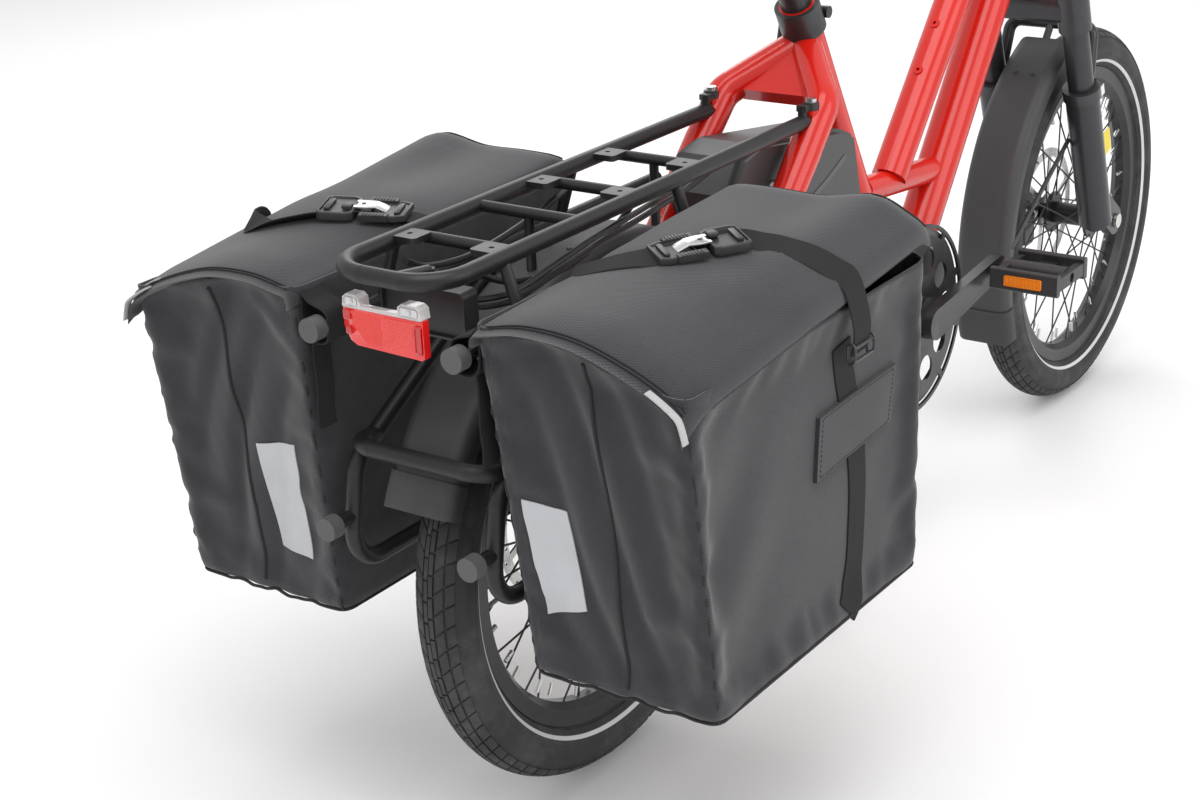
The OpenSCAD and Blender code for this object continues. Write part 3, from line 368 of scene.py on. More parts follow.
def effect(name, inputs, outputs):
    """An empty shader node group with named sockets."""
    tree = bpy.data.node_groups.new(name, "ShaderNodeTree")
    for label, kind, value in inputs:
        socket = tree.interface.new_socket(label, in_out="INPUT", socket_type=kind)
        if value is not None:
            socket.default_value = value
    for label, kind in outputs:
        tree.interface.new_socket(label, in_out="OUTPUT", socket_type=kind)
    return tree, tree.nodes.new("NodeGroupInput"), tree.nodes.new("NodeGroupOutput")


FLOAT, COLOR = "NodeSocketFloat", "NodeSocketColor"


def math_node(tree, operation, a, b=None):
    node = tree.nodes.new("ShaderNodeMath")
    node.operation = operation
    for k, v in enumerate((a, b)):
        if v is None:
            continue
        if isinstance(v, (int, float)):
            node.inputs[k].default_value = v
        else:
            tree.links.new(v, node.inputs[k])
    return node.outputs[0]


def mix_colour(tree, factor, a, b, blend="MIX"):
    node = tree.nodes.new("ShaderNodeMix")
    node.data_type, node.blend_type = "RGBA", blend
    for k, v in ((0, factor), (6, a), (7, b)):
        if hasattr(v, "is_output"):
            tree.links.new(v, node.inputs[k])
        else:
            node.inputs[k].default_value = v
    return node.outputs[2]


def build_grain():
    """Fine grain of powder coat, rubber and moulded plastic, with a slow change of shade."""
    tree, g, out = effect("Grain", [("Colour", COLOR, (0.1, 0.1, 0.1, 1)), ("Grain", FLOAT, 900.0),
                                    ("Contrast", FLOAT, 0.15), ("Roughness", FLOAT, 0.5)],
                          [("Colour", COLOR), ("Roughness", FLOAT), ("Height", FLOAT)])
    where = tree.nodes.new("ShaderNodeTexCoord")
    fine = add_node(tree, "ShaderNodeTexNoise", Detail=2.0)
    slow = add_node(tree, "ShaderNodeTexNoise", Scale=14.0, Detail=3.0)
    link = tree.links.new
    link(where.outputs["Object"], fine.inputs["Vector"])
    link(where.outputs["Object"], slow.inputs["Vector"])
    link(g.outputs["Grain"], fine.inputs["Scale"])
    both = math_node(tree, "ADD", math_node(tree, "MULTIPLY", fine.outputs["Fac"], 0.6),
                     math_node(tree, "MULTIPLY", slow.outputs["Fac"], 0.8))
    swing = math_node(tree, "MULTIPLY", math_node(tree, "SUBTRACT", both, 0.7), g.outputs["Contrast"])
    shade = math_node(tree, "ADD", swing, 1.0)
    tinted = tree.nodes.new("ShaderNodeVectorMath")
    tinted.operation = "SCALE"
    link(g.outputs["Colour"], tinted.inputs[0])
    link(shade, tinted.inputs["Scale"])
    link(tinted.outputs[0], out.inputs["Colour"])
    rough = math_node(tree, "ADD", g.outputs["Roughness"], math_node(tree, "MULTIPLY", swing, 0.5))
    link(rough, out.inputs["Roughness"])
    link(fine.outputs["Fac"], out.inputs["Height"])


def build_edge_wear():
    """Where convex edges are rubbed: a mask that is broken up by noise."""
    tree, g, out = effect("Edge Wear", [("Amount", FLOAT, 0.3)], [("Mask", FLOAT)])
    geometry = tree.nodes.new("ShaderNodeNewGeometry")
    where = tree.nodes.new("ShaderNodeTexCoord")
    patchy = add_node(tree, "ShaderNodeTexNoise", Scale=70.0, Detail=4.0)
    tree.links.new(where.outputs["Object"], patchy.inputs["Vector"])
    edge = tree.nodes.new("ShaderNodeMapRange")
    edge.inputs["From Min"].default_value = 0.52
    edge.inputs["From Max"].default_value = 0.62
    tree.links.new(geometry.outputs["Pointiness"], edge.inputs["Value"])
    worn = math_node(tree, "MULTIPLY", edge.outputs[0], patchy.outputs["Fac"])
    tree.links.new(math_node(tree, "MULTIPLY", worn, g.outputs["Amount"]), out.inputs["Mask"])


def build_dust():
    """Dust that settles in patches, as a mask."""
    tree, g, out = effect("Dust", [("Amount", FLOAT, 0.2)], [("Mask", FLOAT)])
    where = tree.nodes.new("ShaderNodeTexCoord")
    cloud = add_node(tree, "ShaderNodeTexNoise", Scale=22.0, Detail=6.0, Roughness=0.7)
    tree.links.new(where.outputs["Object"], cloud.inputs["Vector"])
    ramp = tree.nodes.new("ShaderNodeMapRange")
    ramp.inputs["From Min"].default_value = 0.48
    ramp.inputs["From Max"].default_value = 0.75
    tree.links.new(cloud.outputs["Fac"], ramp.inputs["Value"])
    tree.links.new(math_node(tree, "MULTIPLY", ramp.outputs[0], g.outputs["Amount"]), out.inputs["Mask"])


def build_weave():
    """Plain weave over the cut pattern: threads crossing over and under."""
    tree, g, out = effect("Weave", [("Colour", COLOR, (0.05, 0.05, 0.05, 1)), ("Threads", FLOAT, 900.0),
                                    ("Contrast", FLOAT, 0.5)],
                          [("Colour", COLOR), ("Roughness", FLOAT), ("Height", FLOAT)])
    link = tree.links.new
    cut = tree.nodes.new("ShaderNodeUVMap")
    cut.uv_map = "cut"
    split = tree.nodes.new("ShaderNodeSeparateXYZ")
    link(cut.outputs[0], split.inputs[0])
    across = math_node(tree, "MULTIPLY", split.outputs[0], g.outputs["Threads"])
    along = math_node(tree, "MULTIPLY", split.outputs[1], g.outputs["Threads"])
    wave_a = math_node(tree, "SINE", math_node(tree, "MULTIPLY", across, math.pi))
    wave_b = math_node(tree, "SINE", math_node(tree, "MULTIPLY", along, math.pi))
    over = math_node(tree, "MULTIPLY", wave_a, wave_b)
    height = math_node(tree, "ADD", math_node(tree, "MULTIPLY", over, 0.5), 0.5)
    where = tree.nodes.new("ShaderNodeTexCoord")
    slub = add_node(tree, "ShaderNodeTexNoise", Scale=260.0, Detail=3.0)
    fade = add_node(tree, "ShaderNodeTexNoise", Scale=9.0, Detail=4.0)
    link(where.outputs["Object"], slub.inputs["Vector"])
    link(where.outputs["Object"], fade.inputs["Vector"])
    tone = math_node(tree, "ADD", math_node(tree, "MULTIPLY", height, 0.5),
                     math_node(tree, "ADD", math_node(tree, "MULTIPLY", slub.outputs["Fac"], 0.5),
                               math_node(tree, "MULTIPLY", fade.outputs["Fac"], 0.5)))
    shade = math_node(tree, "ADD", 1.0, math_node(tree, "MULTIPLY", math_node(tree, "SUBTRACT", tone, 0.75),
                                                  g.outputs["Contrast"]))
    tinted = tree.nodes.new("ShaderNodeVectorMath")
    tinted.operation = "SCALE"
    link(g.outputs["Colour"], tinted.inputs[0])
    link(shade, tinted.inputs["Scale"])
    link(tinted.outputs[0], out.inputs["Colour"])
    rough = math_node(tree, "SUBTRACT", 0.95, math_node(tree, "MULTIPLY", height, 0.15))
    link(rough, out.inputs["Roughness"])
    link(height, out.inputs["Height"])


def build_ribs():
    """Ribs across webbing, grips or covers, along the cut pattern."""
    tree, g, out = effect("Ribs", [("Colour", COLOR, (0.05, 0.05, 0.05, 1)), ("Ribs", FLOAT, 500.0),
                                   ("Contrast", FLOAT, 0.6)],
                          [("Colour", COLOR), ("Roughness", FLOAT), ("Height", FLOAT)])
    link = tree.links.new
    cut = tree.nodes.new("ShaderNodeUVMap")
    cut.uv_map = "cut"
    split = tree.nodes.new("ShaderNodeSeparateXYZ")
    link(cut.outputs[0], split.inputs[0])
    wave = math_node(tree, "SINE", math_node(tree, "MULTIPLY", math_node(
        tree, "MULTIPLY", split.outputs[1], g.outputs["Ribs"]), 2 * math.pi))
    height = math_node(tree, "ADD", math_node(tree, "MULTIPLY", wave, 0.5), 0.5)
    where = tree.nodes.new("ShaderNodeTexCoord")
    fibre = add_node(tree, "ShaderNodeTexNoise", Scale=700.0, Detail=2.0)
    link(where.outputs["Object"], fibre.inputs["Vector"])
    tone = math_node(tree, "ADD", math_node(tree, "MULTIPLY", height, 0.7),
                     math_node(tree, "MULTIPLY", fibre.outputs["Fac"], 0.6))
    shade = math_node(tree, "ADD", 1.0, math_node(tree, "MULTIPLY", math_node(tree, "SUBTRACT", tone, 0.65),
                                                  g.outputs["Contrast"]))
    tinted = tree.nodes.new("ShaderNodeVectorMath")
    tinted.operation = "SCALE"
    link(g.outputs["Colour"], tinted.inputs[0])
    link(shade, tinted.inputs["Scale"])
    link(tinted.outputs[0], out.inputs["Colour"])
    link(math_node(tree, "SUBTRACT", 0.8, math_node(tree, "MULTIPLY", height, 0.2)), out.inputs["Roughness"])
    link(height, out.inputs["Height"])


# name: effect, colour, effect values, principled values, bump (distance in metres, strength), wear, dust
FINISHES = {
    "frame paint": ("Grain", "paint", dict(Grain=1200, Contrast=0.06, Roughness=0.27),
                    {"Coat Weight": 0.5, "Coat Roughness": 0.06, "Specular IOR Level": 0.3},
                    (0.00004, 0.08), 0, 0),
    "powder coat": ("Grain", "powder", dict(Grain=1500, Contrast=0.4, Roughness=0.42),
                    {"Specular IOR Level": 0.4}, (0.00008, 0.25), 0.12, 0.02),
    "fender plastic": ("Grain", (0.040, 0.040, 0.041), dict(Grain=1300, Contrast=0.25, Roughness=0.5),
                       {}, (0.00008, 0.3), 0.05, 0.03),
    "battery plastic": ("Grain", (0.042, 0.042, 0.044), dict(Grain=1600, Contrast=0.3, Roughness=0.42),
                        {}, (0.00006, 0.3), 0.05, 0.02),
    "motor metal": ("Grain", (0.03, 0.03, 0.033), dict(Grain=900, Contrast=0.3, Roughness=0.4),
                    {"Metallic": 0.3}, (0.00008, 0.3), 0.1, 0.03),
    "black plastic": ("Grain", (0.018, 0.018, 0.019), dict(Grain=1500, Contrast=0.4, Roughness=0.42),
                      {}, (0.00007, 0.3), 0.08, 0.02),
    "grey plastic": ("Grain", (0.09, 0.09, 0.094), dict(Grain=1500, Contrast=0.25, Roughness=0.5),
                     {}, (0.00007, 0.3), 0.05, 0.02),
    "mudflap rubber": ("Grain", (0.035, 0.035, 0.036), dict(Grain=800, Contrast=0.4, Roughness=0.62),
                       {}, (0.0001, 0.4), 0.04, 0.06),
    "foot rubber": ("Grain", (0.085, 0.085, 0.088), dict(Grain=900, Contrast=0.35, Roughness=0.6),
                    {}, (0.0001, 0.4), 0.06, 0.05),
    "hose rubber": ("Grain", (0.012, 0.012, 0.012), dict(Grain=1200, Contrast=0.4, Roughness=0.38),
                    {}, (0.00005, 0.2), 0, 0.02),
    "tyre rubber": ("Grain", (0.020, 0.020, 0.021), dict(Grain=1100, Contrast=0.55, Roughness=0.66),
                    {}, (0.00015, 0.5), 0.12, 0.16),
    "tyre stripe": ("Grain", (0.62, 0.63, 0.64), dict(Grain=2200, Contrast=0.25, Roughness=0.5),
                    {}, (0.00005, 0.3), 0, 0.05),
    "reflective film": ("Grain", (0.50, 0.51, 0.53), dict(Grain=1500, Contrast=0.55, Roughness=0.5),
                        {}, (0.00005, 0.4), 0, 0.03),
    "black alloy": ("Grain", (0.022, 0.022, 0.024), dict(Grain=1400, Contrast=0.3, Roughness=0.34),
                    {"Metallic": 0.5, "Specular IOR Level": 0.6}, (0.00005, 0.2), 0.15, 0.02),
    "dark alloy": ("Grain", (0.045, 0.046, 0.05), dict(Grain=1400, Contrast=0.25, Roughness=0.3),
                   {"Metallic": 0.5}, (0.00004, 0.15), 0.1, 0.02),
    "bright steel": ("Grain", (0.60, 0.60, 0.59), dict(Grain=1800, Contrast=0.25, Roughness=0.27),
                     {"Metallic": 1.0}, (0.00003, 0.15), 0, 0.04),
    "bright alloy": ("Grain", (0.66, 0.66, 0.67), dict(Grain=1800, Contrast=0.2, Roughness=0.3),
                     {"Metallic": 1.0}, (0.00003, 0.15), 0, 0.02),
    "chain steel": ("Grain", (0.16, 0.155, 0.15), dict(Grain=1500, Contrast=0.5, Roughness=0.38),
                    {"Metallic": 0.9}, (0.00005, 0.3), 0.2, 0.08),
    "red alloy": ("Grain", (0.55, 0.02, 0.015), dict(Grain=1400, Contrast=0.2, Roughness=0.3),
                  {"Metallic": 0.8}, (0.00003, 0.15), 0, 0.02),
    "yellow film": ("Grain", (0.80, 0.62, 0.02), dict(Grain=1600, Contrast=0.12, Roughness=0.4),
                    {}, (0.00003, 0.1), 0, 0.03),
    "white film": ("Grain", (0.75, 0.75, 0.74), dict(Grain=1600, Contrast=0.1, Roughness=0.4),
                   {}, (0.00003, 0.1), 0, 0.03),
    "grey film": ("Grain", (0.12, 0.12, 0.125), dict(Grain=1600, Contrast=0.2, Roughness=0.35),
                  {"Coat Weight": 0.6, "Coat Roughness": 0.1}, (0.00003, 0.1), 0, 0),
    "dark film": ("Grain", (0.045, 0.045, 0.048), dict(Grain=1600, Contrast=0.2, Roughness=0.35),
                  {"Coat Weight": 0.6, "Coat Roughness": 0.1}, (0.00003, 0.1), 0, 0),
    "bag cloth": ("Weave", "cloth", dict(Threads=620, Contrast=0.75),
                  {"Sheen Weight": 0.25, "Sheen Roughness": 0.5}, (0.0004, 0.5), 0, 0.02),
    "grey binding": ("Weave", (0.42, 0.42, 0.42), dict(Threads=900, Contrast=0.4),
                     {"Sheen Weight": 0.2}, (0.0003, 0.4), 0, 0.03),
    "seam thread": ("Grain", (0.016, 0.015, 0.017), dict(Grain=2500, Contrast=0.6, Roughness=0.8),
                    {}, (0.00015, 0.6), 0, 0),
    "webbing": ("Ribs", "strap", dict(Ribs=560, Contrast=0.9),
                {"Sheen Weight": 0.3, "Sheen Roughness": 0.4}, (0.0004, 0.7), 0, 0.02),
    "grip rubber": ("Grain", (0.03, 0.03, 0.031), dict(Grain=700, Contrast=0.4, Roughness=0.6), {},
                    (0.0002, 0.4), 0, 0.03),
    "saddle cover": ("Grain", (0.022, 0.022, 0.022), dict(Grain=700, Contrast=0.4, Roughness=0.55),
                     {"Sheen Weight": 0.1}, (0.00025, 0.5), 0.08, 0.03),
    "red lens": ("Grain", "reflector", dict(Grain=500, Contrast=0.2, Roughness=0.12),
                 {"Coat Weight": 1.0, "Coat Roughness": 0.04}, (0.0001, 0.1), 0, 0),
    "red prism": ("Grain", (0.85, 0.075, 0.06), dict(Grain=500, Contrast=0.2, Roughness=0.2),
                  {"Coat Weight": 0.6}, (0.0001, 0.1), 0, 0),
    "red glass": ("Grain", (0.55, 0.004, 0.004), dict(Grain=500, Contrast=0.2, Roughness=0.08),
                  {"Coat Weight": 1.0, "Coat Roughness": 0.03}, (0.0001, 0.1), 0, 0),
    "orange lens": ("Grain", (0.90, 0.25, 0.01), dict(Grain=500, Contrast=0.2, Roughness=0.15),
                    {"Coat Weight": 1.0}, (0.0001, 0.1), 0, 0),
    "clear lens": ("Grain", (0.80, 0.76, 0.76), dict(Grain=500, Contrast=0.08, Roughness=0.08),
                   {"Coat Weight": 1.0, "Alpha": 0.62}, (0.0001, 0.05), 0, 0),
}

NODE_FINISH = {
    "frame_paint": "frame paint", "black_paint": "powder coat", "fender_plastic": "fender plastic",
    "flap_rubber": "mudflap rubber", "battery_plastic": "battery plastic", "motor_metal": "motor metal",
    "bag_fabric": "bag cloth", "webbing": "webbing", "bare_steel": "bright steel",
    "bare_alloy": "bright alloy",
    "black_alloy": "black alloy", "dark_alloy": "dark alloy", "tyre_rubber": "tyre rubber",
    "grip_rubber": "grip rubber", "foot_rubber": "foot rubber", "hose_rubber": "hose rubber",
    "lens_red": "red lens", "black_plastic": "black plastic", "saddle_cover": "saddle cover",
}


def finish(name):
    """The named material, made on first use."""
    if name in bpy.data.materials:
        return bpy.data.materials[name]
    if not bpy.data.node_groups.get("Grain"):
        for build in (build_grain, build_edge_wear, build_dust, build_weave, build_ribs):
            build()
    kind, colour, values, shader, (depth, strength), wear, dust = FINISHES[name]
    if isinstance(colour, str):
        colour = tuple(getattr(setting("finishes"), colour))
    material = bpy.data.materials.new(name)
    material.use_nodes = True
    material.diffuse_color = (*colour, 1)
    tree = material.node_tree
    link = tree.links.new
    principled = tree.nodes["Principled BSDF"]
    group = tree.nodes.new("ShaderNodeGroup")
    group.node_tree = bpy.data.node_groups[kind]
    group.inputs["Colour"].default_value = (*colour, 1)
    for key, value in values.items():
        group.inputs[key].default_value = value
    shown = group.outputs["Colour"]
    for effect_name, amount, tone in (("Edge Wear", wear, 0.35), ("Dust", dust, 0.30)):
        if amount:
            mask = tree.nodes.new("ShaderNodeGroup")
            mask.node_tree = bpy.data.node_groups[effect_name]
            mask.inputs["Amount"].default_value = amount
            shown = mix_colour(tree, mask.outputs["Mask"], shown, (tone, tone, tone, 1))
    link(shown, principled.inputs["Base Color"])
    link(group.outputs["Roughness"], principled.inputs["Roughness"])
    bump = add_node(tree, "ShaderNodeBump", Strength=strength, Distance=depth)
    link(group.outputs["Height"], bump.inputs["Height"])
    link(bump.outputs["Normal"], principled.inputs["Normal"])
    for key, value in shader.items():
        principled.inputs[key].default_value = value
    return material


def dress(*nodes, name=None):
    """Gives CAD nodes the finish of their slot, or the named one."""
    slots = {s["node"]: s["material_slot"] for s in frame["record"]["subparts"]}
    for node in nodes:
        obj = frame["nodes"][node]
        obj.data.materials.clear()
        obj.data.materials.append(finish(name or NODE_FINISH[slots[node]]))


class Maker:
    """What every operator here shares."""
    bl_options = {"REGISTER", "UNDO"}

    @classmethod
    def poll(cls, context):
        return bool(frame["nodes"])

    def execute(self, context):
        self.make()
        return {"FINISHED"}


# ---------- stage ----------

class CARGO_OT_stage(Maker, bpy.types.Operator):
    """Sets up the camera, the pale floor and the soft lights"""
    bl_idname = "cargo.stage"
    bl_label = "Stage"

    lens = 62.99
    yaw, pitch, roll = 0.6196, -0.3757, -0.0412
    eye = (-2129.33, -1109.97, 1135.66)

    def make(self):
        scene = bpy.context.scene
        camera = bpy.data.objects.new("camera", bpy.data.cameras.new("camera"))
        scene.collection.objects.link(camera)
        camera.data.lens, camera.data.sensor_width = self.lens, 36
        camera.data.clip_start, camera.data.clip_end = 0.05, 60
        look = Vector((math.cos(self.pitch) * math.cos(self.yaw), math.cos(self.pitch) * math.sin(self.yaw),
                       math.sin(self.pitch)))
        right = look.cross(Z).normalized()
        up = right.cross(look)
        tilt_right = right * math.cos(self.roll) + up * math.sin(self.roll)
        tilt_up = up * math.cos(self.roll) - right * math.sin(self.roll)
        place = Matrix.Translation(at(*self.eye))
        for k, column in enumerate((tilt_right, tilt_up, -look)):
            for row in range(3):
                place[row][k] = column[row]
        camera.matrix_world = place
        scene.camera = camera
        scene.view_settings.view_transform = "Standard"

        size = 40.0
        mesh = bpy.data.meshes.new("floor")
        mesh.from_pydata([(-size, -size, -0.0006), (size, -size, -0.0006), (size, size, -0.0006),
                          (-size, size, -0.0006)], [], [(0, 1, 2, 3)])
        floor = bpy.data.objects.new("floor", mesh)
        scene.collection.objects.link(floor)
        pale = bpy.data.materials.new("pale floor")
        pale.use_nodes = True
        pale.node_tree.nodes["Principled BSDF"].inputs["Base Color"].default_value = (0.93, 0.93, 0.93, 1)
        pale.node_tree.nodes["Principled BSDF"].inputs["Roughness"].default_value = 0.9
        mesh.materials.append(pale)

        world = bpy.data.worlds.new("white room")
        world.use_nodes = True
        sky = world.node_tree.nodes["Background"]
        sky.inputs["Color"].default_value = (1, 1, 1, 1)
        sky.inputs["Strength"].default_value = setting("stage").sky
        scene.world = world
        power = setting("stage").key
        for name, place, width, share in (("key", (-1.2, -0.6, 3.4), 2.6, 1.0),
                                          ("side", (0.4, -3.2, 1.9), 2.0, 0.45),
                                          ("back", (2.6, 2.2, 2.4), 2.2, 0.5)):
            light = bpy.data.objects.new(name, bpy.data.lights.new(name, "AREA"))
            scene.collection.objects.link(light)
            light.data.energy, light.data.size = power * share, width
            light.location = place
            aim = (Vector((0, 0, 0.45)) - light.location)
            light.rotation_euler = aim.to_track_quat("-Z", "Y").to_euler()


# ---------- frame ----------

class CARGO_OT_frame(Maker, bpy.types.Operator):
    """Paints the frame tubes"""
    bl_idname = "cargo.frame"
    bl_label = "Painted frame"

    def make(self):
        dress("head_tube", "down_tube", "top_tube", "seat_tube", "seat_stays", "chain_stays")


class CARGO_OT_drive_unit(Maker, bpy.types.Operator):
    """Finishes the motor and the battery pack and adds the groove and the key lock"""
    bl_idname = "cargo.drive_unit"
    bl_label = "Motor and battery"

    def make(self):
        dress("motor_unit", "battery_pack")
        shell = tree_of(frame["nodes"]["battery_pack"])
        low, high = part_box("battery_pack")
        size = high - low
        for side in (-1, 1):
            parts = Mould(f"battery_trim_{'left' if side > 0 else 'right'}")
            groove = curve_through([Vector((low.x + size.x * u, side * 0.06, low.z + size.z * v)) for u, v in
                                    ((0.16, 0.42), (0.3, 0.36), (0.5, 0.36), (0.68, 0.46), (0.84, 0.60))], 6)
            strip = laid(shell, band(groove, 0.006, 2, Z), Y * -side, 0.0008)
            parts.add(strip, "grey plastic", flip=side > 0)
            if side < 0:
                self.lock(parts, shell, Vector((low.x + size.x * 0.30, -high.y, low.z + size.z * 0.62)))
            parts.piece("frame")

    def lock(self, parts, shell, place):
        """The round key lock on the battery's right side."""
        hit = shell.ray_cast(place - Y * 0.05, Y, 0.2)[0] or place
        face = facing(hit, -Y, Z) @ Matrix.Scale(MM, 4)
        parts.add(slab(circle(9, 28), 2.2, face, 0.6, 0.4), "bright alloy")
        slot = face @ Matrix.Translation((0, 0, 2.1))
        parts.add(slab(rounded(2, 8, 0.8, 2), 0.5, slot, 0.2), "dark alloy")


class CARGO_OT_rack(Maker, bpy.types.Operator):
    """Finishes the rack with its lugs, side frames, bolts and parking feet"""
    bl_idname = "cargo.rack"
    bl_label = "Rack"

    def make(self):
        dress("rack_deck", "rack_side_frames", "rack_bolts", "parking_feet")


# ---------- wheels ----------

class CARGO_OT_tyres(Maker, bpy.types.Operator):
    """Builds both tyres with tread blocks and reflective side stripes"""
    bl_idname = "cargo.tyres"
    bl_label = "Tyres"

    half_w = 0.0284
    rim_r = 0.209

    def surface(self, s, t, lift, hub):
        """A point s along the tread and t across it, in metres; lift is above the carcass."""
        turn = s / WHEEL_R
        lean = t / self.half_w
        r = WHEEL_R - self.half_w + (self.half_w + lift) * math.cos(lean)
        return Vector((hub.x + r * math.sin(turn), hub.y + (self.half_w + lift) * math.sin(lean),
                       hub.z - r * math.cos(turn)))

    def block(self, corners, depth, hub):
        """One raised tread block, from (s, t) corners."""
        n = len(corners)
        c = (sum(p[0] for p in corners) / n, sum(p[1] for p in corners) / n)
        points = []
        for lift, keep in ((-depth - 0.0003, 1.0), (-0.0003, 0.96), (0.0, 0.88)):
            for s, t in corners:
                points.append(self.surface(c[0] + (s - c[0]) * keep, c[1] + (t - c[1]) * keep, lift, hub))
        points.append(self.surface(*c, 0.0, hub))
        faces = []
        for ring in range(2):
            for k in range(n):
                q = (k + 1) % n
                faces.append((ring * n + k, ring * n + q, (ring + 1) * n + q, (ring + 1) * n + k))
        for k in range(n):
            faces.append((2 * n + k, 2 * n + (k + 1) % n, 3 * n))
        return points, faces, [(0, 0)] * len(points)

    def make(self):
        wheels = setting("wheels")
        rows, depth = wheels.rows, wheels.tread
        pitch = 2 * math.pi * WHEEL_R / rows
        for end, hub, body in (("front", FRONT_HUB, "front_wheel"), ("rear", REAR_HUB, "rear_wheel")):
            tyre = Mould(f"{end}_tyre_with_tread")
            place = facing(hub, Y)
            bead = math.radians(152)
            outside = []
            for k in range(41):
                a = -bead + 2 * bead * k / 40
                over = self.half_w - depth * (1 if abs(a) < 1.25 else 0)
                outside.append((WHEEL_R - self.half_w + over * math.cos(a), over * math.sin(a)))
            inside = [(r + (0.0025 if abs(h) < 0.02 else 0), h * 0.86) for r, h in reversed(outside)]
            inside = [(min(r, WHEEL_R - 0.006), h) for r, h in inside]
            tyre.add(turned(outside + inside + outside[:1], place, 144), "tyre rubber")
            gap = 0.0009
            for k in range(rows):
                s = k * pitch
                for side in (-1, 1):
                    lag = 0.25 * pitch * (side > 0)
                    # Two centre bars, a long slanted block and a shoulder lug on each side
                    bars = [((0.0, 0.3), (0.0052, 0.3)), ((0.0064, 0.12), (0.0155, -0.22)),
                            ((0.0167, -0.26), (0.0262, -0.46))]
                    for (t0, d0), (t1, d1) in bars:
                        a0, a1 = s + lag + d0 * pitch + gap / 2, s + lag + d1 * pitch + gap / 2
                        inner = side * (t0 + gap * 0.3)
                        corners = [(a0, inner), (a0 + pitch - gap * 1.6, inner),
                                   (a1 + pitch - gap * 1.6, side * t1), (a1, side * t1)]
                        if side < 0:
                            corners.reverse()
                        tyre.add(self.block(corners, depth, hub), "tyre rubber")
            for side in (-1, 1):
                arc = [math.radians(123.6) + d / self.half_w for d in
                       (-wheels.stripe / 2, -wheels.stripe / 4, 0, wheels.stripe / 4, wheels.stripe / 2)]
                band = [(WHEEL_R - self.half_w + (self.half_w + 0.0003) * math.cos(a),
                         side * (self.half_w + 0.0003) * math.sin(a)) for a in arc]
                tyre.add(turned(band if side > 0 else band[::-1], place, 144), "tyre stripe")
                for angle, width in ((math.radians(104), 0.0012), (math.radians(141), 0.0010)):
                    ridge = []
                    for k in range(7):
                        a = angle + (k / 6 - 0.5) * 2 * width / self.half_w
                        lift = 0.0006 * math.sin(math.pi * k / 6)
                        ridge.append((WHEEL_R - self.half_w + (self.half_w + lift) * math.cos(a),
                                      side * (self.half_w + lift) * math.sin(a)))
                    tyre.add(turned(ridge if side > 0 else ridge[::-1], place, 144), "tyre rubber")
            tyre.piece(body, [f"{end}_tyre"])


class CARGO_OT_wheels(Maker, bpy.types.Operator):
    """Finishes rims, spokes, hubs, discs and calipers and adds nipples and valves"""
    bl_idname = "cargo.wheels"
    bl_label = "Wheels and brakes"

    def make(self):
        dress("front_rim", "rear_rim", "front_hub", "rear_hub", "front_caliper", "rear_caliper",
              "front_spokes", "rear_spokes")
        dress("front_disc", "rear_disc", "front_axle", "rear_axle", "rear_sprocket")
        for end in ("front", "rear"):
            low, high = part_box(f"{end}_rim")
            hub, outer = (low + high) / 2, (high.z - low.z) / 2
            inner = outer - 0.030
            parts = Mould(f"{end}_valve_and_nipples")
            turn = 0.9 if end == "front" else -0.7
            away = Vector((math.cos(turn), 0, math.sin(turn)))
            stem = [hub + away * (inner + 0.004), hub + away * (inner - 0.016), hub + away * (inner - 0.032)]
            parts.add(swept(stem, ring_section(0.0030, 12)), "bright alloy")
            cap = [hub + away * (inner - 0.024), hub + away * (inner - 0.035)]
            parts.add(swept(cap, ring_section(0.0042, 12)), "black plastic")
            for k in range(32):
                a = 2 * math.pi * (k + 0.5) / 32
                out = Vector((math.cos(a), 0, math.sin(a)))
                lean = Y * 0.004 * (1 if k % 2 else -1)
                parts.add(swept([hub + out * (inner + 0.003) + lean, hub + out * (inner - 0.010) + lean],
                                ring_section(0.0024, 8)), "bright steel")
            parts.piece(f"{end}_wheel")


# ---------- bags ----------

BAG_Z, BAG_TOP, BAG_RIM = 240, 576, 546
SOFT_STEPS = 20


def bag_wall(u_side, u, t):
    """A point of the cut bag, in millimetres on the left side, from its column and share of height."""
    inner, outer = 110 - 12 * t, 298
    rear, front = -842 - 40 * t, -478 + 6 * t
    r = 14
    if u_side == 0:      # rear face, from the inner to the outer edge
        x, y = rear, inner + r + (outer - inner - 2 * r) * u
    elif u_side == 1:    # outer face, rear to front
        x, y = rear + r + (front - rear - 2 * r) * u, outer
    elif u_side == 2:    # front face, outer to inner
        x, y = front, outer - r - (outer - inner - 2 * r) * u
    else:                # inner face, front to rear
        x, y = front - r - (front - rear - 2 * r) * u, inner
    top = BAG_TOP if y < 182 else BAG_TOP - (y - 182) * (BAG_TOP - BAG_RIM) / 116
    return x, y, BAG_Z + (top - 3 - BAG_Z) * t


SIDES = ((18, 0), (34, 1), (18, 2), (34, 3))
CORNER = 4


def bag_columns():
    """Where each column of cloth lies round the bag: (face, share) or a corner."""
    columns = []
    for count, face in SIDES:
        columns += [("wall", face, k / (count - 1)) for k in range(count)]
        columns += [("corner", face, (k + 1) / (CORNER + 1)) for k in range(CORNER)]
    return columns


def bag_point(column, t):
    kind, face, share = column
    if kind == "wall":
        return Vector(bag_wall(face, share, t))
    a = Vector(bag_wall(face, 1, t))
    b = Vector(bag_wall((face + 1) % 4, 0, t))
    corner = Vector((a.x, b.y, 0)) if face in (0, 2) else Vector((b.x, a.y, 0))
    corner = Vector((a.x if face in (0, 2) else b.x, b.y if face in (0, 2) else a.y, (a.z + b.z) / 2))
    return a * (1 - share) ** 2 + corner * 2 * share * (1 - share) + b * share ** 2


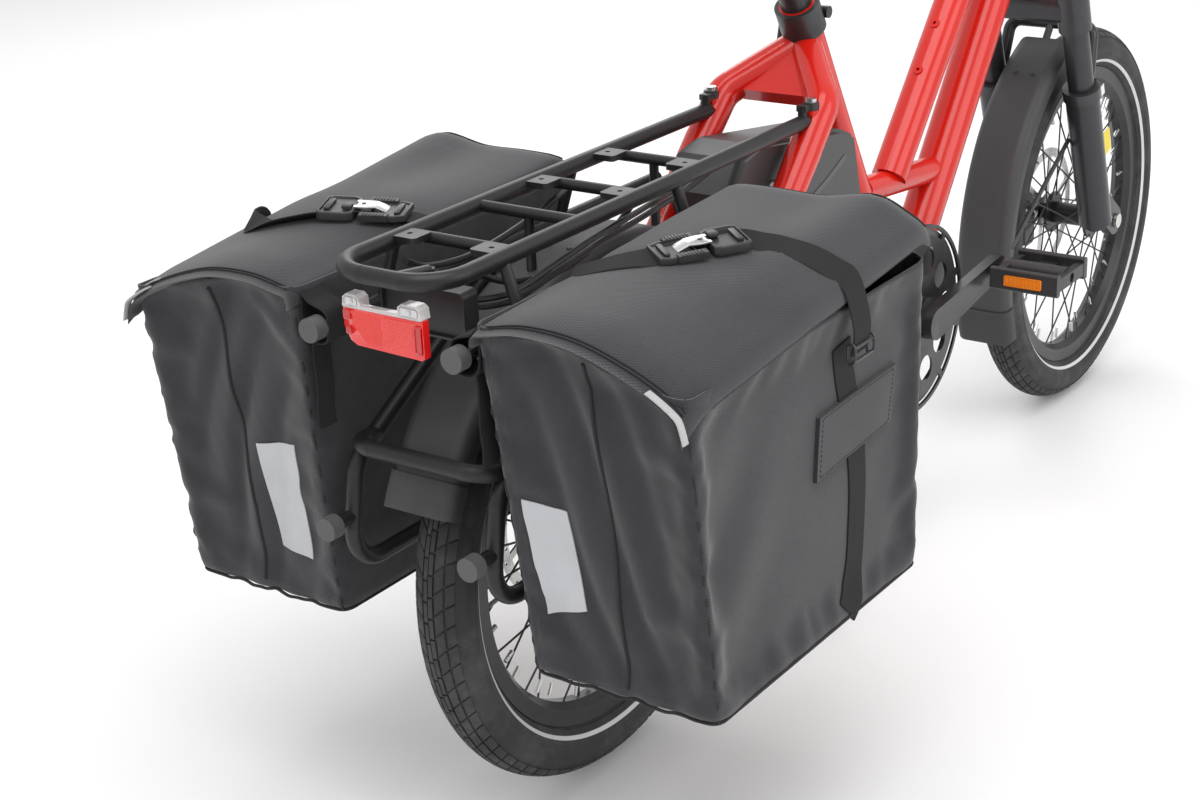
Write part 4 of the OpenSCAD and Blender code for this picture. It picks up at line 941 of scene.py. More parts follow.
def folds(face, u, t, phase):
    """Depth of the drawn folds, from -1 to 1: long diagonals that run down and outwards."""
    if face == 0:
        line = u * 1.5 + t * 1.05 + 0.12 * math.sin(5 * t + phase)
        strength = math.sin(math.pi * min(max(u, 0), 1)) * (0.35 + 0.65 * math.sin(math.pi * t))
        return strength * (math.sin(15 * line + phase) + 0.5 * math.sin(27 * line + 2 * phase + 3 * u))
    if face == 1:
        line = u * 0.9 - t * 0.7
        near = math.exp(-((u - 0.1) / 0.22) ** 2) + 0.6 * math.exp(-((u - 0.95) / 0.12) ** 2)
        return near * 0.6 * math.sin(17 * line + phase) * math.sin(math.pi * t) + 0.25 * math.sin(
            7 * u + 5 * t + phase) * math.sin(math.pi * t)
    if face == 2:
        return 0.5 * math.sin(9 * u + 12 * t + phase) * math.sin(math.pi * t)
    return 0.0


class CARGO_OT_bags(Maker, bpy.types.Operator):
    """Sews both bags: simulated cloth walls with folds, seams, patches and webbing"""
    bl_idname = "cargo.bags"
    bl_label = "Bags"

    levels = 30

    def cut(self, name):
        """The open cloth shell as it is cut, with its floor."""
        columns = bag_columns()
        n = len(columns)
        points, faces, uvs = [], [], []
        run = [0.0]
        for k in range(1, n):
            run.append(run[-1] + (bag_point(columns[k], 0.5) - bag_point(columns[k - 1], 0.5)).length)
        foot = 6
        for level in range(self.levels + 1):
            t = level / self.levels
            for k, column in enumerate(columns):
                points.append(bag_point(column, t))
                uvs.append((run[k] * MM, t * 0.33))
        for level in range(self.levels):
            for k in range(n):
                q = (k + 1) % n
                faces.append((level * n + k, level * n + q, (level + 1) * n + q, (level + 1) * n + k))
        # Floor: rings that shrink towards the middle
        centre = Vector((-660, 204, BAG_Z))
        last = list(range(n))
        for ring in range(1, foot + 1):
            keep = 1 - ring / (foot + 1)
            row = []
            for k in range(n):
                p = points[k]
                row.append(len(points))
                points.append(centre + (p - centre) * keep + Vector((0, 0, 1.5)))
                uvs.append((points[-1].x * MM, points[-1].y * MM))
            for k in range(n):
                q = (k + 1) % n
                faces.append((last[k], row[k], row[q], last[q]))
            last = row
        points.append(centre + Vector((0, 0, 1.5)))
        uvs.append((centre.x * MM, centre.y * MM))
        for k in range(n):
            faces.append((last[k], len(points) - 1, last[(k + 1) % n]))
        mesh = bpy.data.meshes.new(name)
        mesh.from_pydata([at(*p) for p in points], [], faces)
        layer = mesh.uv_layers.new(name="cut")
        for loop in mesh.loops:
            layer.data[loop.index].uv = uvs[loop.vertex_index]
        obj = bpy.data.objects.new(name, mesh)
        bpy.context.scene.collection.objects.link(obj)
        return obj, columns

    def simulate(self, obj, columns):
        """Lets the load push the walls out: pinned at the mouth, the floor's edge and the back."""
        n = len(columns)
        pins = obj.vertex_groups.new(name="pins")
        for k, (kind, face, _) in enumerate(columns):
            for level in range(self.levels + 1):
                weight = 0.0
                if level in (0, self.levels):
                    weight = 1.0
                elif kind == "wall" and face == 3:
                    weight = 0.9
                elif kind == "corner":
                    weight = 0.5
                if weight:
                    pins.add([level * n + k], weight, "REPLACE")
        pins.add(list(range((self.levels + 1) * n, len(obj.data.vertices))), 1.0, "REPLACE")
        rest = [v.co.copy() for v in obj.data.vertices]
        cloth = obj.modifiers.new("Cloth", "CLOTH")
        s = cloth.settings
        s.quality, s.mass = 6, 0.3
        s.tension_stiffness = s.compression_stiffness = 14
        s.shear_stiffness, s.bending_stiffness = 6, 0.6
        s.vertex_group_mass = "pins"
        s.pin_stiffness = 1.0
        s.shrink_min = s.shrink_max = -0.03
        s.use_pressure = True
        s.uniform_pressure_force = setting("bags").pressure
        s.effector_weights.gravity = 0
        cloth.collision_settings.use_collision = False
        scene = bpy.context.scene
        scene.frame_start, scene.frame_end = 1, SOFT_STEPS
        for step in range(1, SOFT_STEPS + 1):
            scene.frame_set(step)
        graph = bpy.context.evaluated_depsgraph_get()
        shaped = obj.evaluated_get(graph).data
        moved = [v.co.copy() for v in shaped.vertices]
        obj.modifiers.remove(cloth)
        scene.frame_set(1)
        cap = setting("bags").swell
        for v, a, b in zip(obj.data.vertices, rest, moved):
            d = b - a
            if d.length > cap:
                d *= cap / d.length
            v.co = a + d

    def make(self):
        bags = setting("bags")
        dress("left_bag", "right_bag")
        for side, phase in (("left", 2.1), ("right", 0.4)):
            obj, columns = self.cut(f"{side}_bag_cloth")
            self.simulate(obj, columns)
            n = len(columns)
            mesh = obj.data
            mesh.update()
            normals = [v.normal.copy() for v in mesh.vertices]
            seams = {"outer_rear": 18 + 2, "outer_front": 18 + 34 + CORNER + 2, "inner_rear": n - 2,
                     "rear_mid": 9}
            for level in range(self.levels + 1):
                t = level / self.levels
                for k, (kind, face, share) in enumerate(columns):
                    v = mesh.vertices[level * n + k]
                    if kind == "wall":
                        v.co += normals[level * n + k] * bags.crease * folds(face, share, t, phase)
                    near = min(abs(k - c) for c in seams.values())
                    if near == 0 and 0 < level < self.levels:
                        v.co -= normals[level * n + k] * 0.002
            lines = {}
            for label, k in seams.items():
                lines[label] = [mesh.vertices[level * n + k].co + normals[level * n + k] * 0.0004
                                for level in range(self.levels + 1)]
            lines["foot"] = [mesh.vertices[k].co + normals[k] * 0.0005 for k in range(n)]
            soften = obj.modifiers.new("soft", "SUBSURF")
            soften.levels = soften.render_levels = 1
            lining = obj.modifiers.new("lining", "SOLIDIFY")
            lining.thickness, lining.offset = 0.0022, -1
            bake_modifiers(obj)
            if side == "right":
                flip_side(obj)
            cloth = BVHTree.FromPolygons([v.co for v in obj.data.vertices],
                                         [tuple(f.vertices) for f in obj.data.polygons])
            obj.data.materials.clear()
            obj.data.materials.append(finish("bag cloth"))
            obj.data.shade_smooth()
            settle(obj, "frame", [f"{side}_bag"])

            trim = Mould(f"{side}_bag_seams")
            for label, line in lines.items():
                if label == "rear_mid":
                    laid_on = []
                    for q in line[1:-1]:
                        spot = q if side == "left" else Vector((q.x, -q.y, q.z))
                        hit = cloth.ray_cast(spot - X * 0.06, X, 0.12)[0] or spot
                        laid_on.append(Vector((hit.x - 0.0006, q.y, q.z)))
                    line = laid_on
                shape = swept(curve_through(line, 3, closed=label == "foot"), ring_section(bags.piping, 8),
                              closed=label == "foot")
                trim.add(shape if side == "left" else mirrored(shape), "seam thread")
            trim.piece("frame")
            self.outside(side, cloth)
            self.back(side, cloth)

    def outside(self, side, cloth):
        """Webbing down the outer face, with the loop patch sewn over it."""
        s = 1 if side == "left" else -1
        inward = Y * -s
        turn = (lambda x: x) if side == "right" else (lambda x: -1320 - x)
        strip = [at(turn(x), s * 298, z) for x, z in
                 ((-617, 505), (-612, 480), (-600, 440), (-588, 400), (-584, 360), (-587, 320), (-592, 285),
                  (-603, 258), (-616, 246))]
        webbing = Mould(f"{side}_bag_webbing")
        webbing.add(laid(cloth, band(curve_through(strip, 4), 0.031, 4, X), inward, 0.0016), "webbing",
                    flip=s > 0)
        webbing.piece("frame")
        patch = Mould(f"{side}_loop_patch")
        corners = [at(turn(x), s * 298, z) for x, z in ((-658, 450), (-520, 456), (-526, 401), (-665, 392))]
        patch.add(laid(cloth, between(corners, 8, 20), inward, 0.0042), "bag cloth",
                  flip=(s > 0) != (side == "left"))
        for a, b in ((0, 1), (1, 2), (2, 3), (3, 0)):
            start = corners[a].lerp(corners[(a + 2) % 4], 0.04)
            end = corners[b].lerp(corners[(b + 2) % 4], 0.04)
            stitches = 30 if (a + b) % 4 != 3 else 12
            for k in range(stitches):
                p = start.lerp(end, (k + 0.25) / stitches)
                q = start.lerp(end, (k + 0.75) / stitches)
                ends = []
                for point in (p, q):
                    hit = cloth.ray_cast(point - inward * 0.06, inward, 0.12)[0]
                    ends.append((hit or point) - inward * 0.0044)
                patch.add(swept(ends, ring_section(0.00035, 5)), "seam thread")
        patch.piece("frame")

    def back(self, side, cloth):
        """Reflective patch on the rear face and a webbing loop on the side rail."""
        s = 1 if side == "left" else -1
        patch = Mould(f"{side}_reflective_patch")
        outline = (((-120, 415), (-160, 409), (-170, 315), (-130, 303)) if side == "right" else
                   ((142, 408), (190, 400), (186, 290), (146, 286)))
        corners = [at(-850, y, z) for y, z in outline]
        patch.add(laid(cloth, between(corners, 14, 6), X, 0.0011), "reflective film", flip=side == "left")
        patch.piece("frame")
        loop = Mould(f"{side}_rail_loop")
        around = [at(-862, s * y, z) for y, z in
                  ((96, 566), (88, 560), (70, 553), (68, 538), (72, 526), (86, 524), (94, 530), (97, 545))]
        ring = curve_through(around, 5, closed=True)
        loop.add(swept(ring, strap_section(0.030, 0.0022), side=X, closed=True), "webbing")
        tab = [at(-862, s * y, z) for y, z in ((90, 528), (91, 505), (90, 480), (92, 455), (91, 440))]
        loop.add(swept(curve_through(tab, 5), strap_section(0.024, 0.002), side=X), "webbing")
        loop.piece("frame")


def tree_of(obj):
    """A search tree over an object's faces, for laying thin pieces on it."""
    place = obj.matrix_world
    return BVHTree.FromPolygons([place @ v.co for v in obj.data.vertices],
                                [tuple(f.vertices) for f in obj.data.polygons])


def bake_modifiers(obj):
    """Applies every modifier to the object's own mesh."""
    graph = bpy.context.evaluated_depsgraph_get()
    mesh = bpy.data.meshes.new_from_object(obj.evaluated_get(graph))
    obj.modifiers.clear()
    obj.data = mesh


def flip_side(obj):
    """Turns a left-hand piece into a right-hand one."""
    obj.data.transform(Matrix.Scale(-1, 4, Y))
    obj.data.flip_normals()


# ---------- lids ----------

LID_REAR, LID_FRONT = -892, -464


def lid_surface(u, v, phase):
    """Top of the rolled lid, in millimetres on the left side: u from rear to front, v from the back edge over
    the top and down the outer edge."""
    x = LID_REAR + (LID_FRONT - LID_REAR) * u
    rise = 34 * max(0, u - 0.12)
    inner, crown, edge = 572 + rise * 0.7, 583 + rise * 0.45, 549 + rise * 1.15
    stations = [(97, inner - 14), (99, inner - 2), (112, inner + 3), (150, crown), (200, crown - 1),
                (250, edge + 20), (284, edge + 6), (299, edge - 4), (304, edge - 20)]
    s = v * (len(stations) - 1)
    k = min(int(s), len(stations) - 2)
    f = s - k
    before, a, b, after = (stations[max(k - 1, 0)], stations[k], stations[k + 1],
                           stations[min(k + 2, len(stations) - 1)])
    y, z = (0.5 * (2 * a[i] + (b[i] - before[i]) * f + (2 * before[i] - 5 * a[i] + 4 * b[i] - after[i]) * f * f
                   + (3 * a[i] - before[i] - 3 * b[i] + after[i]) * f ** 3) for i in (0, 1))
    tail = max(0.0, 1 - u / 0.13)
    z -= tail ** 1.6 * (4 + 20 * max(0, v - 0.2))
    nose = max(0.0, (u - 0.93) / 0.07)
    z -= nose ** 2 * 14
    z += 1.6 * math.sin(11 * u + 3 * v + phase) * math.sin(math.pi * v)
    z += 2.2 * math.exp(-((u - 0.48) / 0.05) ** 2) * math.sin(9 * v + phase) * 0.5
    return x, y, z


class CARGO_OT_lids(Maker, bpy.types.Operator):
    """Rolls both lids over the bags, with their straps, buckles and ladder locks"""
    bl_idname = "cargo.lids"
    bl_label = "Lids and straps"

    def make(self):
        dress("left_lid", "right_lid", "left_lid_strap", "right_lid_strap")
        along, across, thick = 44, 34, 9.0
        for side, phase in (("left", 1.3), ("right", 0.0)):
            lid = Mould(f"{side}_lid_cloth")
            top, under, cuts = [], [], []
            for i in range(along + 1):
                for j in range(across + 1):
                    u, v = i / along, j / across
                    p = Vector(lid_surface(u, v, phase))
                    e = 0.004
                    u0, u1, v0, v1 = max(u - e, 0), min(u + e, 1), max(v - e, 0), min(v + e, 1)
                    du = Vector(lid_surface(u1, v, phase)) - Vector(lid_surface(u0, v, phase))
                    dv = Vector(lid_surface(u, v1, phase)) - Vector(lid_surface(u, v0, phase))
                    normal = du.cross(dv).normalized()
                    round_off = min(1, i / 1.5, (along - i) / 1.5) ** 0.5 if 0 < i < along else 0.0
                    edge = min(1, j / 1.5, (across - j) / 1.5) ** 0.5 if 0 < j < across else 0.0
                    depth = thick * (0.25 + 0.75 * round_off * edge)
                    top.append(at(*(p - normal * (thick - depth) * 0.35)))
                    under.append(at(*(p - normal * depth)))
                    cuts.append((u * 0.43, v * 0.25))
            w = across + 1
            points = top + under
            base = len(top)
            faces = []
            for i in range(along):
                for j in range(across):
                    a = i * w + j
                    faces.append((a, a + w, a + w + 1, a + 1))
                    faces.append((base + a, base + a + 1, base + a + w + 1, base + a + w))
            for i in range(along):
                faces.append((i * w, base + i * w, base + (i + 1) * w, (i + 1) * w))
                j = i * w + across
                faces.append((j, j + w, base + j + w, base + j))
            for j in range(across):
                faces.append((j, j + 1, base + j + 1, base + j))
                a = along * w + j
                faces.append((a, base + a, base + a + 1, a + 1))
            shape = (points, faces, cuts + cuts)
            lid.add(shape if side == "left" else mirrored(shape), "bag cloth")
            obj = lid.piece(f"{side}_lid", [f"{side}_lid"], sharp=180)
            self.strap(side, phase)
            self.binding(side, phase)

    def binding(self, side, phase):
        """Light binding folded over the lid's rear outer tip, and the stitched hem across the lid's ends."""
        parts = Mould(f"{side}_lid_binding")
        bars = (0,) if side == "right" else (0, 13)
        for step in bars:
            tip = [self.on_lid(side, phase, LID_REAR + 2 + step, y, 1.0)[0]
                   for y in (268, 276, 284, 292, 299, 303)]
            parts.add(swept(curve_through(tip, 3), strap_section(0.009, 0.0016), side=X), "grey binding")
        for inset in (9, 12.5):
            for x in (LID_REAR + inset, LID_FRONT - inset):
                hem = [self.on_lid(side, phase, x, 108 + 10 * k, 0.3)[0] for k in range(20)]
                parts.add(swept(curve_through(hem, 2), ring_section(0.0007, 6)), "seam thread")
        parts.piece(f"{side}_lid")

    def on_lid(self, side, phase, x, y, lift=0.0):
        """A point over the lid at x and y, in millimetres, and the lid's normal there."""
        stations = (97, 99, 112, 150, 200, 250, 284, 299, 304)
        k = max(i for i in range(8) if stations[i] <= y or i == 0)
        v = min(1.0, (k + (y - stations[k]) / (stations[k + 1] - stations[k])) / 8)
        u = (x - LID_REAR) / (LID_FRONT - LID_REAR)
        e = 0.01
        p = Vector(lid_surface(u, v, phase))
        du = Vector(lid_surface(u + e, v, phase)) - Vector(lid_surface(u - e, v, phase))
        dv = Vector(lid_surface(u, min(1, v + e), phase)) - Vector(lid_surface(u, max(0, v - e), phase))
        normal = du.cross(dv).normalized()
        s = 1 if side == "left" else -1
        q = p + normal * lift
        return at(q.x, s * q.y, q.z), Vector((normal.x, s * normal.y, normal.z))

    def strap(self, side, phase):
        """Webbing from the back edge through the buckle to the ladder lock on the outer face."""
        s = 1 if side == "left" else -1
        way = (((-744, 99), (-736, 112), (-722, 140), (-706, 162), (-676, 184), (-646, 206), (-636, 232),
                (-630, 262), (-624, 288), (-620, 300)) if side == "right" else
               ((-697, 99), (-699, 112), (-706, 135), (-722, 158), (-740, 182), (-758, 204), (-770, 232),
                (-762, 262), (-730, 288), (-706, 300)))
        line, normals = [], []
        for x, y in way:
            p, n = self.on_lid(side, phase, x, y, 3.0 if 135 < y < 230 else 1.6)
            line.append(p)
            normals.append(n)
        foot_x = way[-1][0] + (3 if side == "right" else 0)
        line.append(at(foot_x, s * 309, 534))
        line.append(at(foot_x + 1, s * 310, 518))
        line.append(at(foot_x + 2, s * 307, 503))
        parts = Mould(f"{side}_lid_webbing")
        path = curve_through(line, 6)
        across = [X.copy() for _ in path]
        for k in range(len(path)):
            step = (path[min(k + 1, len(path) - 1)] - path[max(k - 1, 0)]).normalized()
            t = min(1.0, k / (len(path) * 0.8))
            up = (Z * (1 - t) + Y * s * t).normalized()
            side_way = up.cross(step)
            across[k] = side_way if side_way.length > 1e-4 else X.copy()
        parts.add(swept(path, strap_section(0.031, 0.0018), side=across), "webbing")
        # Webbing doubled back through the ladder lock
        back = [p + Vector((0, 0, -0.0022)) for p in path[int(len(path) * 0.62):]]
        parts.add(swept(back, strap_section(0.029, 0.0016), side=across[int(len(path) * 0.62):]), "webbing")
        # Ladder lock: a narrow metal loop round the webbing
        end = line[-1]
        for dx in (-1, 1):
            rail = [end + Vector((dx * 0.0172, s * dy * MM, dz * MM)) for dy, dz in
                    ((3, 9), (5, 6), (5, -4), (3, -8), (-1, -8), (-2, -4), (-2, 6), (0, 9))]
            parts.add(swept(curve_through(rail, 3, closed=True), ring_section(0.0014, 8), closed=True),
                      "dark alloy")
        for dy, dz in ((4, 6), (4, -6)):
            bar = [end + Vector((dx * 0.0172, s * dy * MM, dz * MM)) for dx in (-1, 1)]
            parts.add(swept(bar, ring_section(0.0015, 8)), "dark alloy")
        parts.piece(f"{side}_lid", [f"{side}_lid_strap"])
        self.buckle(side, phase, (-675, 184) if side == "right" else (-722, 152),
                    (-708, 160) if side == "right" else (-704, 112))

    def buckle(self, side, phase, centre, inner):
        """A two-part buckle: ribbed black body, black tongue and a notched metal latch."""
        c, normal = self.on_lid(side, phase, *centre, 3.0)
        toward, _ = self.on_lid(side, phase, *inner, 3.0)
        place = facing(c, normal, (toward - c).normalized())
        turn = Matrix.Scale(MM, 4)
        parts = Mould(f"{side}_buckle")

        def put(outline, x, y, z, height, name, bevel=1.0, sink=0.0, tilt=0.0):
            here = place @ turn @ Matrix.Translation((x, y, z)) @ Matrix.Rotation(math.radians(tilt), 4, "X")
            parts.add(slab(outline, height, here, bevel, sink), name)

        body = [(-19, -22), (19, -22), (23, -17), (23, 6), (19, 13), (-19, 13), (-23, 6), (-23, -17)]
        tongue = [(-17, -12), (17, -12), (20, -6), (21, 14), (17, 24), (-17, 24), (-21, 14), (-20, -6)]
        put(body, 0, -20, 0, 7.5, "black plastic", 1.6, 1.6)
        put(tongue, 0, 18, 0, 5.5, "black plastic", 1.4, 1.2)
        put(rounded(26, 6, 2), 0, -34, 6, 2.4, "black plastic", 0.8)
        put(rounded(26, 5, 2), 0, 33, 4.6, 2.0, "black plastic", 0.8)
        for sx in (-1, 1):
            prong = [(-4.5, -13), (4.5, -13), (3.5, 15), (-3.5, 15)]
            put(prong, sx * 19.5, 12, 0.5, 6.4, "black plastic", 1.2)
            for k in range(7):
                put(rounded(6.5, 1.5, 0.5, 2), sx * 20, 4 + 3.1 * k, 6.2, 1.3, "black plastic", 0.4)
        latch = [(-9, -11), (-5, -11), (-4, -8.5), (4, -8.5), (5, -11), (9, -11), (9.5, 2), (8, 10), (-8, 10),
                 (-9.5, 2)]
        put(latch, 0, 2, 7.6, 1.5, "bright alloy", 0.4)
        put([(-8, -6), (8, -6), (8, 6), (-8, 6)], 0, 16.5, 5.6, 1.4, "bright alloy", 0.4, 0, -22)
        put(circle(2.2, 16), 0, -1, 9.1, 0.5, "dark alloy", 0.2)
        # Finger tab of soft plastic at the body's end
        put(rounded(12, 10, 4), 7, -15, 7.4, 3.2, "black plastic", 1.2)
        parts.piece(f"{side}_lid")


# ---------- tail light ----------

class CARGO_OT_tail_light(Maker, bpy.types.Operator):
    """Builds the tail light: red prism reflector, two clear lamps and a black housing"""
    bl_idname = "cargo.tail_light"
    bl_label = "Tail light"

    def make(self):
        dress("tail_light_body")
        low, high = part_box("tail_light_body")
        width = high.y - low.y
        face = Vector((low.x, 0, (low.z + 0.022)))
        place = facing(face, -X, Z) @ Matrix.Scale(width / 0.092 * MM, 4)
        parts = Mould("tail_light_lenses")

        def put(outline, x, y, z, height, name, bevel=0.6, sink=0.0):
            parts.add(slab(outline, height, place @ Matrix.Translation((x, y, z)), bevel, sink), name)

        put([(-43, 13), (-43, -4), (-37, -16), (-30, -20), (41, -22), (44, -20), (44, 13)], 0, 0, -2, 8,
            "red lens", 1.2)
        # Prism ribs that lean opposite ways on the two halves
        diamond = [(-0.0009, 0), (0, -0.0007), (0.0009, 0), (0, 0.0007)]
        for half in (-1, 1):
            for k in range(17):
                base = half * (1 + 2.6 * k)
                points = []
                for t in range(12):
                    y = 10.5 - 28 * t / 11
                    x = base - half * (10.5 - y) * 0.9
                    if abs(x) < 35 and x * half > 0 and not (x < -28 and y < -12):
                        points.append(place @ Vector((x, y, 6.1)))
                if len(points) > 1:
                    parts.add(swept([points[0], points[-1]], diamond, side=Y), "red prism")
        put(rounded(7, 26, 1.5), 39.5, -4, 6, 2.2, "red glass", 0.8, 0.8)
        put(rounded(8, 9, 1.5), -38, 7, 6, 1.8, "red glass", 0.8, 0.6)
        put(rounded(6, 7, 1.5), -37, -7, 6, 1.8, "red glass", 0.8, 0.6)
        put(rounded(86, 3.4, 1), 0, 14.8, 0, 6.5, "clear lens", 0.6)
        for x, wide in ((-33, 20), (30, 26)):
            put([(-wide / 2, 0), (wide / 2, 0), (wide / 2 - 1, 9), (wide / 2 - 5, 12), (5 - wide / 2, 12),
                 (1 - wide / 2, 9)], x, 13.5, -6, 13, "clear lens", 1.0, 1.2)
            put(rounded(wide - 7, 7, 2), x, 19, 6.2, 0.9, "bright alloy", 0.3, 0.4)
            put(circle(2.6, 20), x, 19, 6.8, 1.2, "clear lens", 0.5)
        parts.piece("frame", ["tail_light_lens"])


class CARGO_OT_fenders(Maker, bpy.types.Operator):
    """Finishes the fenders and mudflaps and adds rivets"""
    bl_idname = "cargo.fenders"
    bl_label = "Fenders"

    def make(self):
        dress("rear_fender", "front_fender", "rear_mudflap", "front_mudflap")
        for end, body, places in (("front", "fork_slider", (0.9, 1.5, 2.2)),
                                  ("rear", "frame", (0.9, 1.7, 2.6))):
            shell = tree_of(frame["nodes"][f"{end}_fender"])
            hub = middle(f"{end}_axle")
            rivets = Mould(f"{end}_fender_rivets")
            for a in places:
                for y in (-0.012, 0.012):
                    out = Vector((math.cos(a), 0, math.sin(a)))
                    hit = shell.ray_cast(hub + out * 0.36 + Y * y, -out, 0.12)[0]
                    if hit:
                        place = facing(hit, out, Y) @ Matrix.Scale(MM, 4)
                        rivets.add(slab(circle(3.2, 16), 1.4, place, 0.6, 0.3), "dark alloy")
            if rivets.finishes:
                rivets.piece(body)


class CARGO_OT_fork(Maker, bpy.types.Operator):
    """Finishes the suspension fork and adds its stickers"""
    bl_idname = "cargo.fork"
    bl_label = "Fork"

    def make(self):
        dress("fork_crown", "fork_lowers")
        legs = tree_of(frame["nodes"]["fork_lowers"])
        axle = middle("front_axle")
        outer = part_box("fork_lowers")[1].y
        up = Vector((-0.3338, 0, 0.9426))
        stickers = Mould("fork_stickers")
        for side in (-1, 1):
            edge = side * (outer - 0.019)
            for reach, tall, wide, name in ((0.115, 0.034, 0.020, "yellow film"),
                                            (0.205, 0.014, 0.013, "white film")):
                start = axle + up * reach + Y * (edge - axle.y)
                path = [start + up * tall * k / 6 for k in range(7)]
                stickers.add(laid(legs, band(path, wide, 8, X), Y * -side, 0.0005), name, flip=side > 0)
        stickers.piece("fork_slider")


class CARGO_OT_drive(Maker, bpy.types.Operator):
    """Finishes the cranks, chainring, chain and pedals and adds the pedal reflectors"""
    bl_idname = "cargo.drive"
    bl_label = "Drive"

    def make(self):
        dress("crank_arms", "chainring", "right_pedal", "left_pedal")
        for side in ("right", "left"):
            low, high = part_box(f"{side}_pedal")
            centre = (low + high) / 2
            reflectors = Mould(f"{side}_pedal_reflectors")
            for x, way in ((low.x, -X), (high.x, X)):
                place = facing(Vector((x, centre.y, centre.z)), way, Z) @ Matrix.Scale(MM, 4)
                reflectors.add(slab(rounded(48, 13, 2), 2.4, place, 0.5, 0.6), "orange lens")
                for k in range(9):
                    here = place @ Matrix.Translation((-20 + 5 * k, 0, 2.3))
                    reflectors.add(slab(rounded(1.2, 10, 0.4, 2), 0.6, here, 0.2), "orange lens")
            reflectors.piece(f"{side}_pedal")
        dress("chain", name="chain steel")


class CARGO_OT_cockpit(Maker, bpy.types.Operator):
    """Finishes the stem, bar, grips, levers and headlight"""
    bl_idname = "cargo.cockpit"
    bl_label = "Cockpit"

    def make(self):
        dress("stem", "handlebar", "grips", "lever_clamps", "headlight", "left_brake_lever",
              "right_brake_lever")


class CARGO_OT_seat(Maker, bpy.types.Operator):
    """Finishes the seat clamp and post and builds the saddle"""
    bl_idname = "cargo.seat"
    bl_label = "Seat"

    def make(self):
        dress("seatpost", "saddle", "seat_clamp")
        dress("clamp_lever", name="black plastic")
        self.saddle()

    def saddle(self):
        """A crowned pad with a channel, a seam down each side and two rails under it."""
        low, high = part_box("saddle")
        rear, base, length = low.x, high.z - 0.043, high.x - low.x - 0.002
        rows, around = 36, 40
        points, uvs = [], []
        for i in range(rows + 1):
            t = i / rows
            x = rear + 0.001 + length * t
            # Broad at the rear, a waist, then a narrow nose; both ends close in a rounded edge
            spread = 0.019 + 0.064 / (1 + math.exp((t - 0.43) * 13))
            end = max(0.02, 1 - (2 * abs(t - 0.5)) ** 14) ** 0.5
            crown = 0.043 - 0.006 * math.sin(math.pi * t) - 0.004 * t
            depth = (0.030 - 0.006 * t) * end
            for k in range(around):
                c, w = math.cos(2 * math.pi * k / around), math.sin(2 * math.pi * k / around)
                y = spread * end * math.copysign(abs(c) ** 0.75, c)
                channel = 0.0035 * math.exp(-(y / 0.012) ** 2) * math.exp(-((t - 0.4) / 0.28) ** 2) * (w > 0)
                z = crown - depth / 2 - channel + depth / 2 * math.copysign(abs(w) ** 0.8, w)
                points.append(Vector((x, y, base + z - 0.006 * (y / 0.08) ** 2)))
                uvs.append((x, k * 0.01))
        faces = [(i * around + k, i * around + (k + 1) % around, (i + 1) * around + (k + 1) % around,
                  (i + 1) * around + k) for i in range(rows) for k in range(around)]
        faces += [tuple(range(around - 1, -1, -1)), tuple(rows * around + k for k in range(around))]
        pad = Mould("saddle_pad")
        pad.add((points, faces, uvs), "saddle cover", flip=True)
        for side in (-1, 1):
            seam = [points[i * around + (2 if side > 0 else around // 2 - 2)] for i in range(1, rows)]
            pad.add(swept(seam, ring_section(0.0009, 6)), "seam thread")
            rail = [Vector((rear + dx, side * y, base + z)) for dx, y, z in
                    ((0.036, 0.030, 0.014), (0.081, 0.022, -0.012), (0.191, 0.022, -0.012),
                     (0.231, 0.012, 0.014))]
            pad.add(swept(curve_through(rail, 8), ring_section(0.0035, 12)), "dark alloy")
        pad.piece("seatpost", ["saddle"])


class CARGO_OT_stand(Maker, bpy.types.Operator):
    """Finishes the centre stand"""
    bl_idname = "cargo.stand"
    bl_label = "Stand"

    def make(self):
        dress("centre_stand")


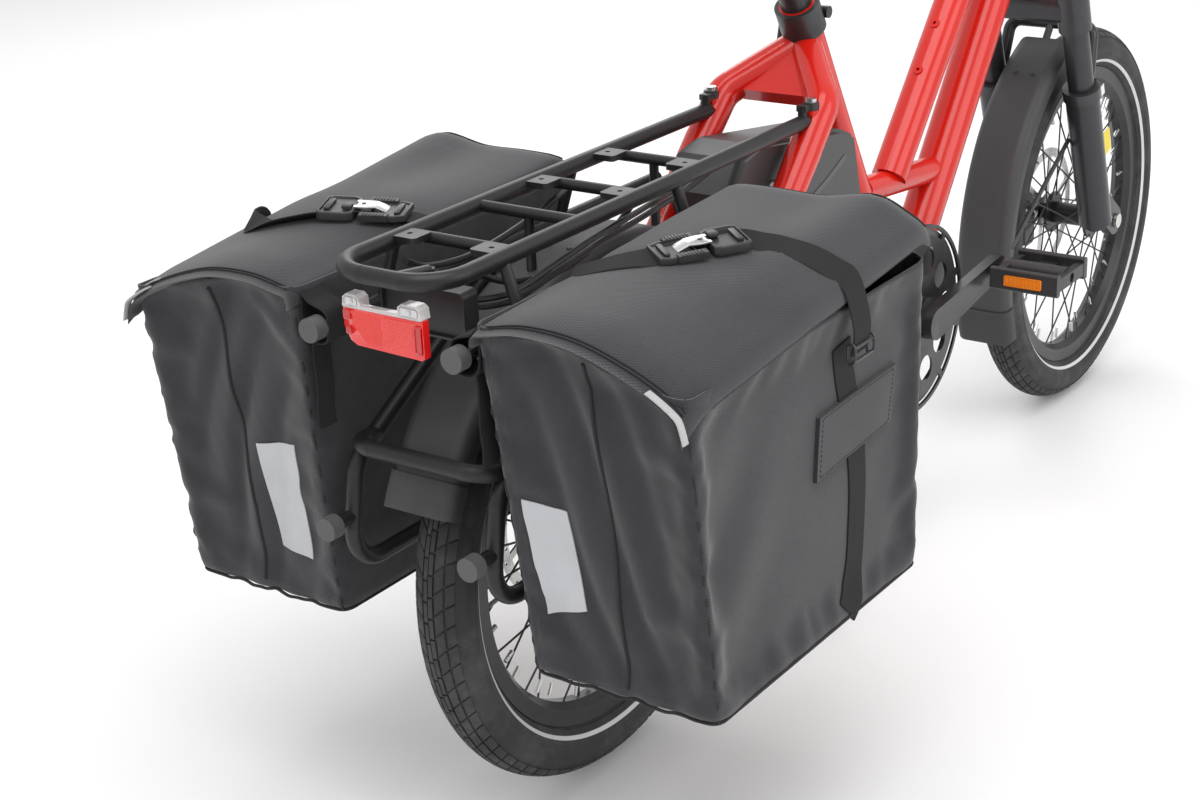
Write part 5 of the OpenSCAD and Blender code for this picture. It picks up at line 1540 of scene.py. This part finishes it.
class CARGO_OT_cables(Maker, bpy.types.Operator):
    """Finishes the rear cables and adds two straps slung under the rack"""
    bl_idname = "cargo.cables"
    bl_label = "Cables"

    def make(self):
        dress("rear_cables")
        slack = [at(*p) for p in ((-800, -40, 583), (-760, -46, 566), (-690, -50, 558), (-610, -46, 570),
                                  (-560, -40, 586))]
        straps = Mould("tie_down_straps")
        for side in (-1, 1):
            path = [Vector((p.x, -side * p.y, p.z)) for p in slack]
            straps.add(swept(curve_through(path, 8), ring_section(0.0032, 10)), "hose rubber")
        straps.piece("frame")


STEPS = ("stage", "frame", "drive_unit", "rack", "tyres", "wheels", "bags", "lids", "tail_light", "fenders",
         "fork", "drive", "cockpit", "seat", "stand", "cables")


class CARGO_PT_panel(bpy.types.Panel):
    """Lists the pieces in the sidebar"""
    bl_label = "Cargo Bicycle"
    bl_idname = "CARGO_PT_panel"
    bl_space_type = "VIEW_3D"
    bl_region_type = "UI"
    bl_category = "Cargo Bicycle"

    def draw(self, context):
        for step in STEPS:
            self.layout.operator(f"cargo.{step}")
        for group in SETTINGS:
            box = self.layout.box()
            for name in SETTINGS[group].__annotations__:
                box.prop(getattr(context.scene, "cargo_" + group), name)


SETTINGS = {"finishes": FinishSettings, "bags": BagSettings, "wheels": WheelSettings, "stage": StageSettings}
CLASSES = (*SETTINGS.values(), CARGO_OT_stage, CARGO_OT_frame, CARGO_OT_drive_unit, CARGO_OT_rack,
           CARGO_OT_tyres, CARGO_OT_wheels, CARGO_OT_bags, CARGO_OT_lids, CARGO_OT_tail_light,
           CARGO_OT_fenders, CARGO_OT_fork, CARGO_OT_drive, CARGO_OT_cockpit, CARGO_OT_seat, CARGO_OT_stand,
           CARGO_OT_cables, CARGO_PT_panel)


def register():
    for cls in CLASSES:
        bpy.utils.register_class(cls)
    for group, cls in SETTINGS.items():
        setattr(bpy.types.Scene, "cargo_" + group, PointerProperty(type=cls))


def unregister():
    for group in SETTINGS:
        delattr(bpy.types.Scene, "cargo_" + group)
    for cls in reversed(CLASSES):
        bpy.utils.unregister_class(cls)


def main():
    register()
    for step in STEPS:
        getattr(bpy.ops.cargo, step)()


if __name__ == "__main__":
    main()
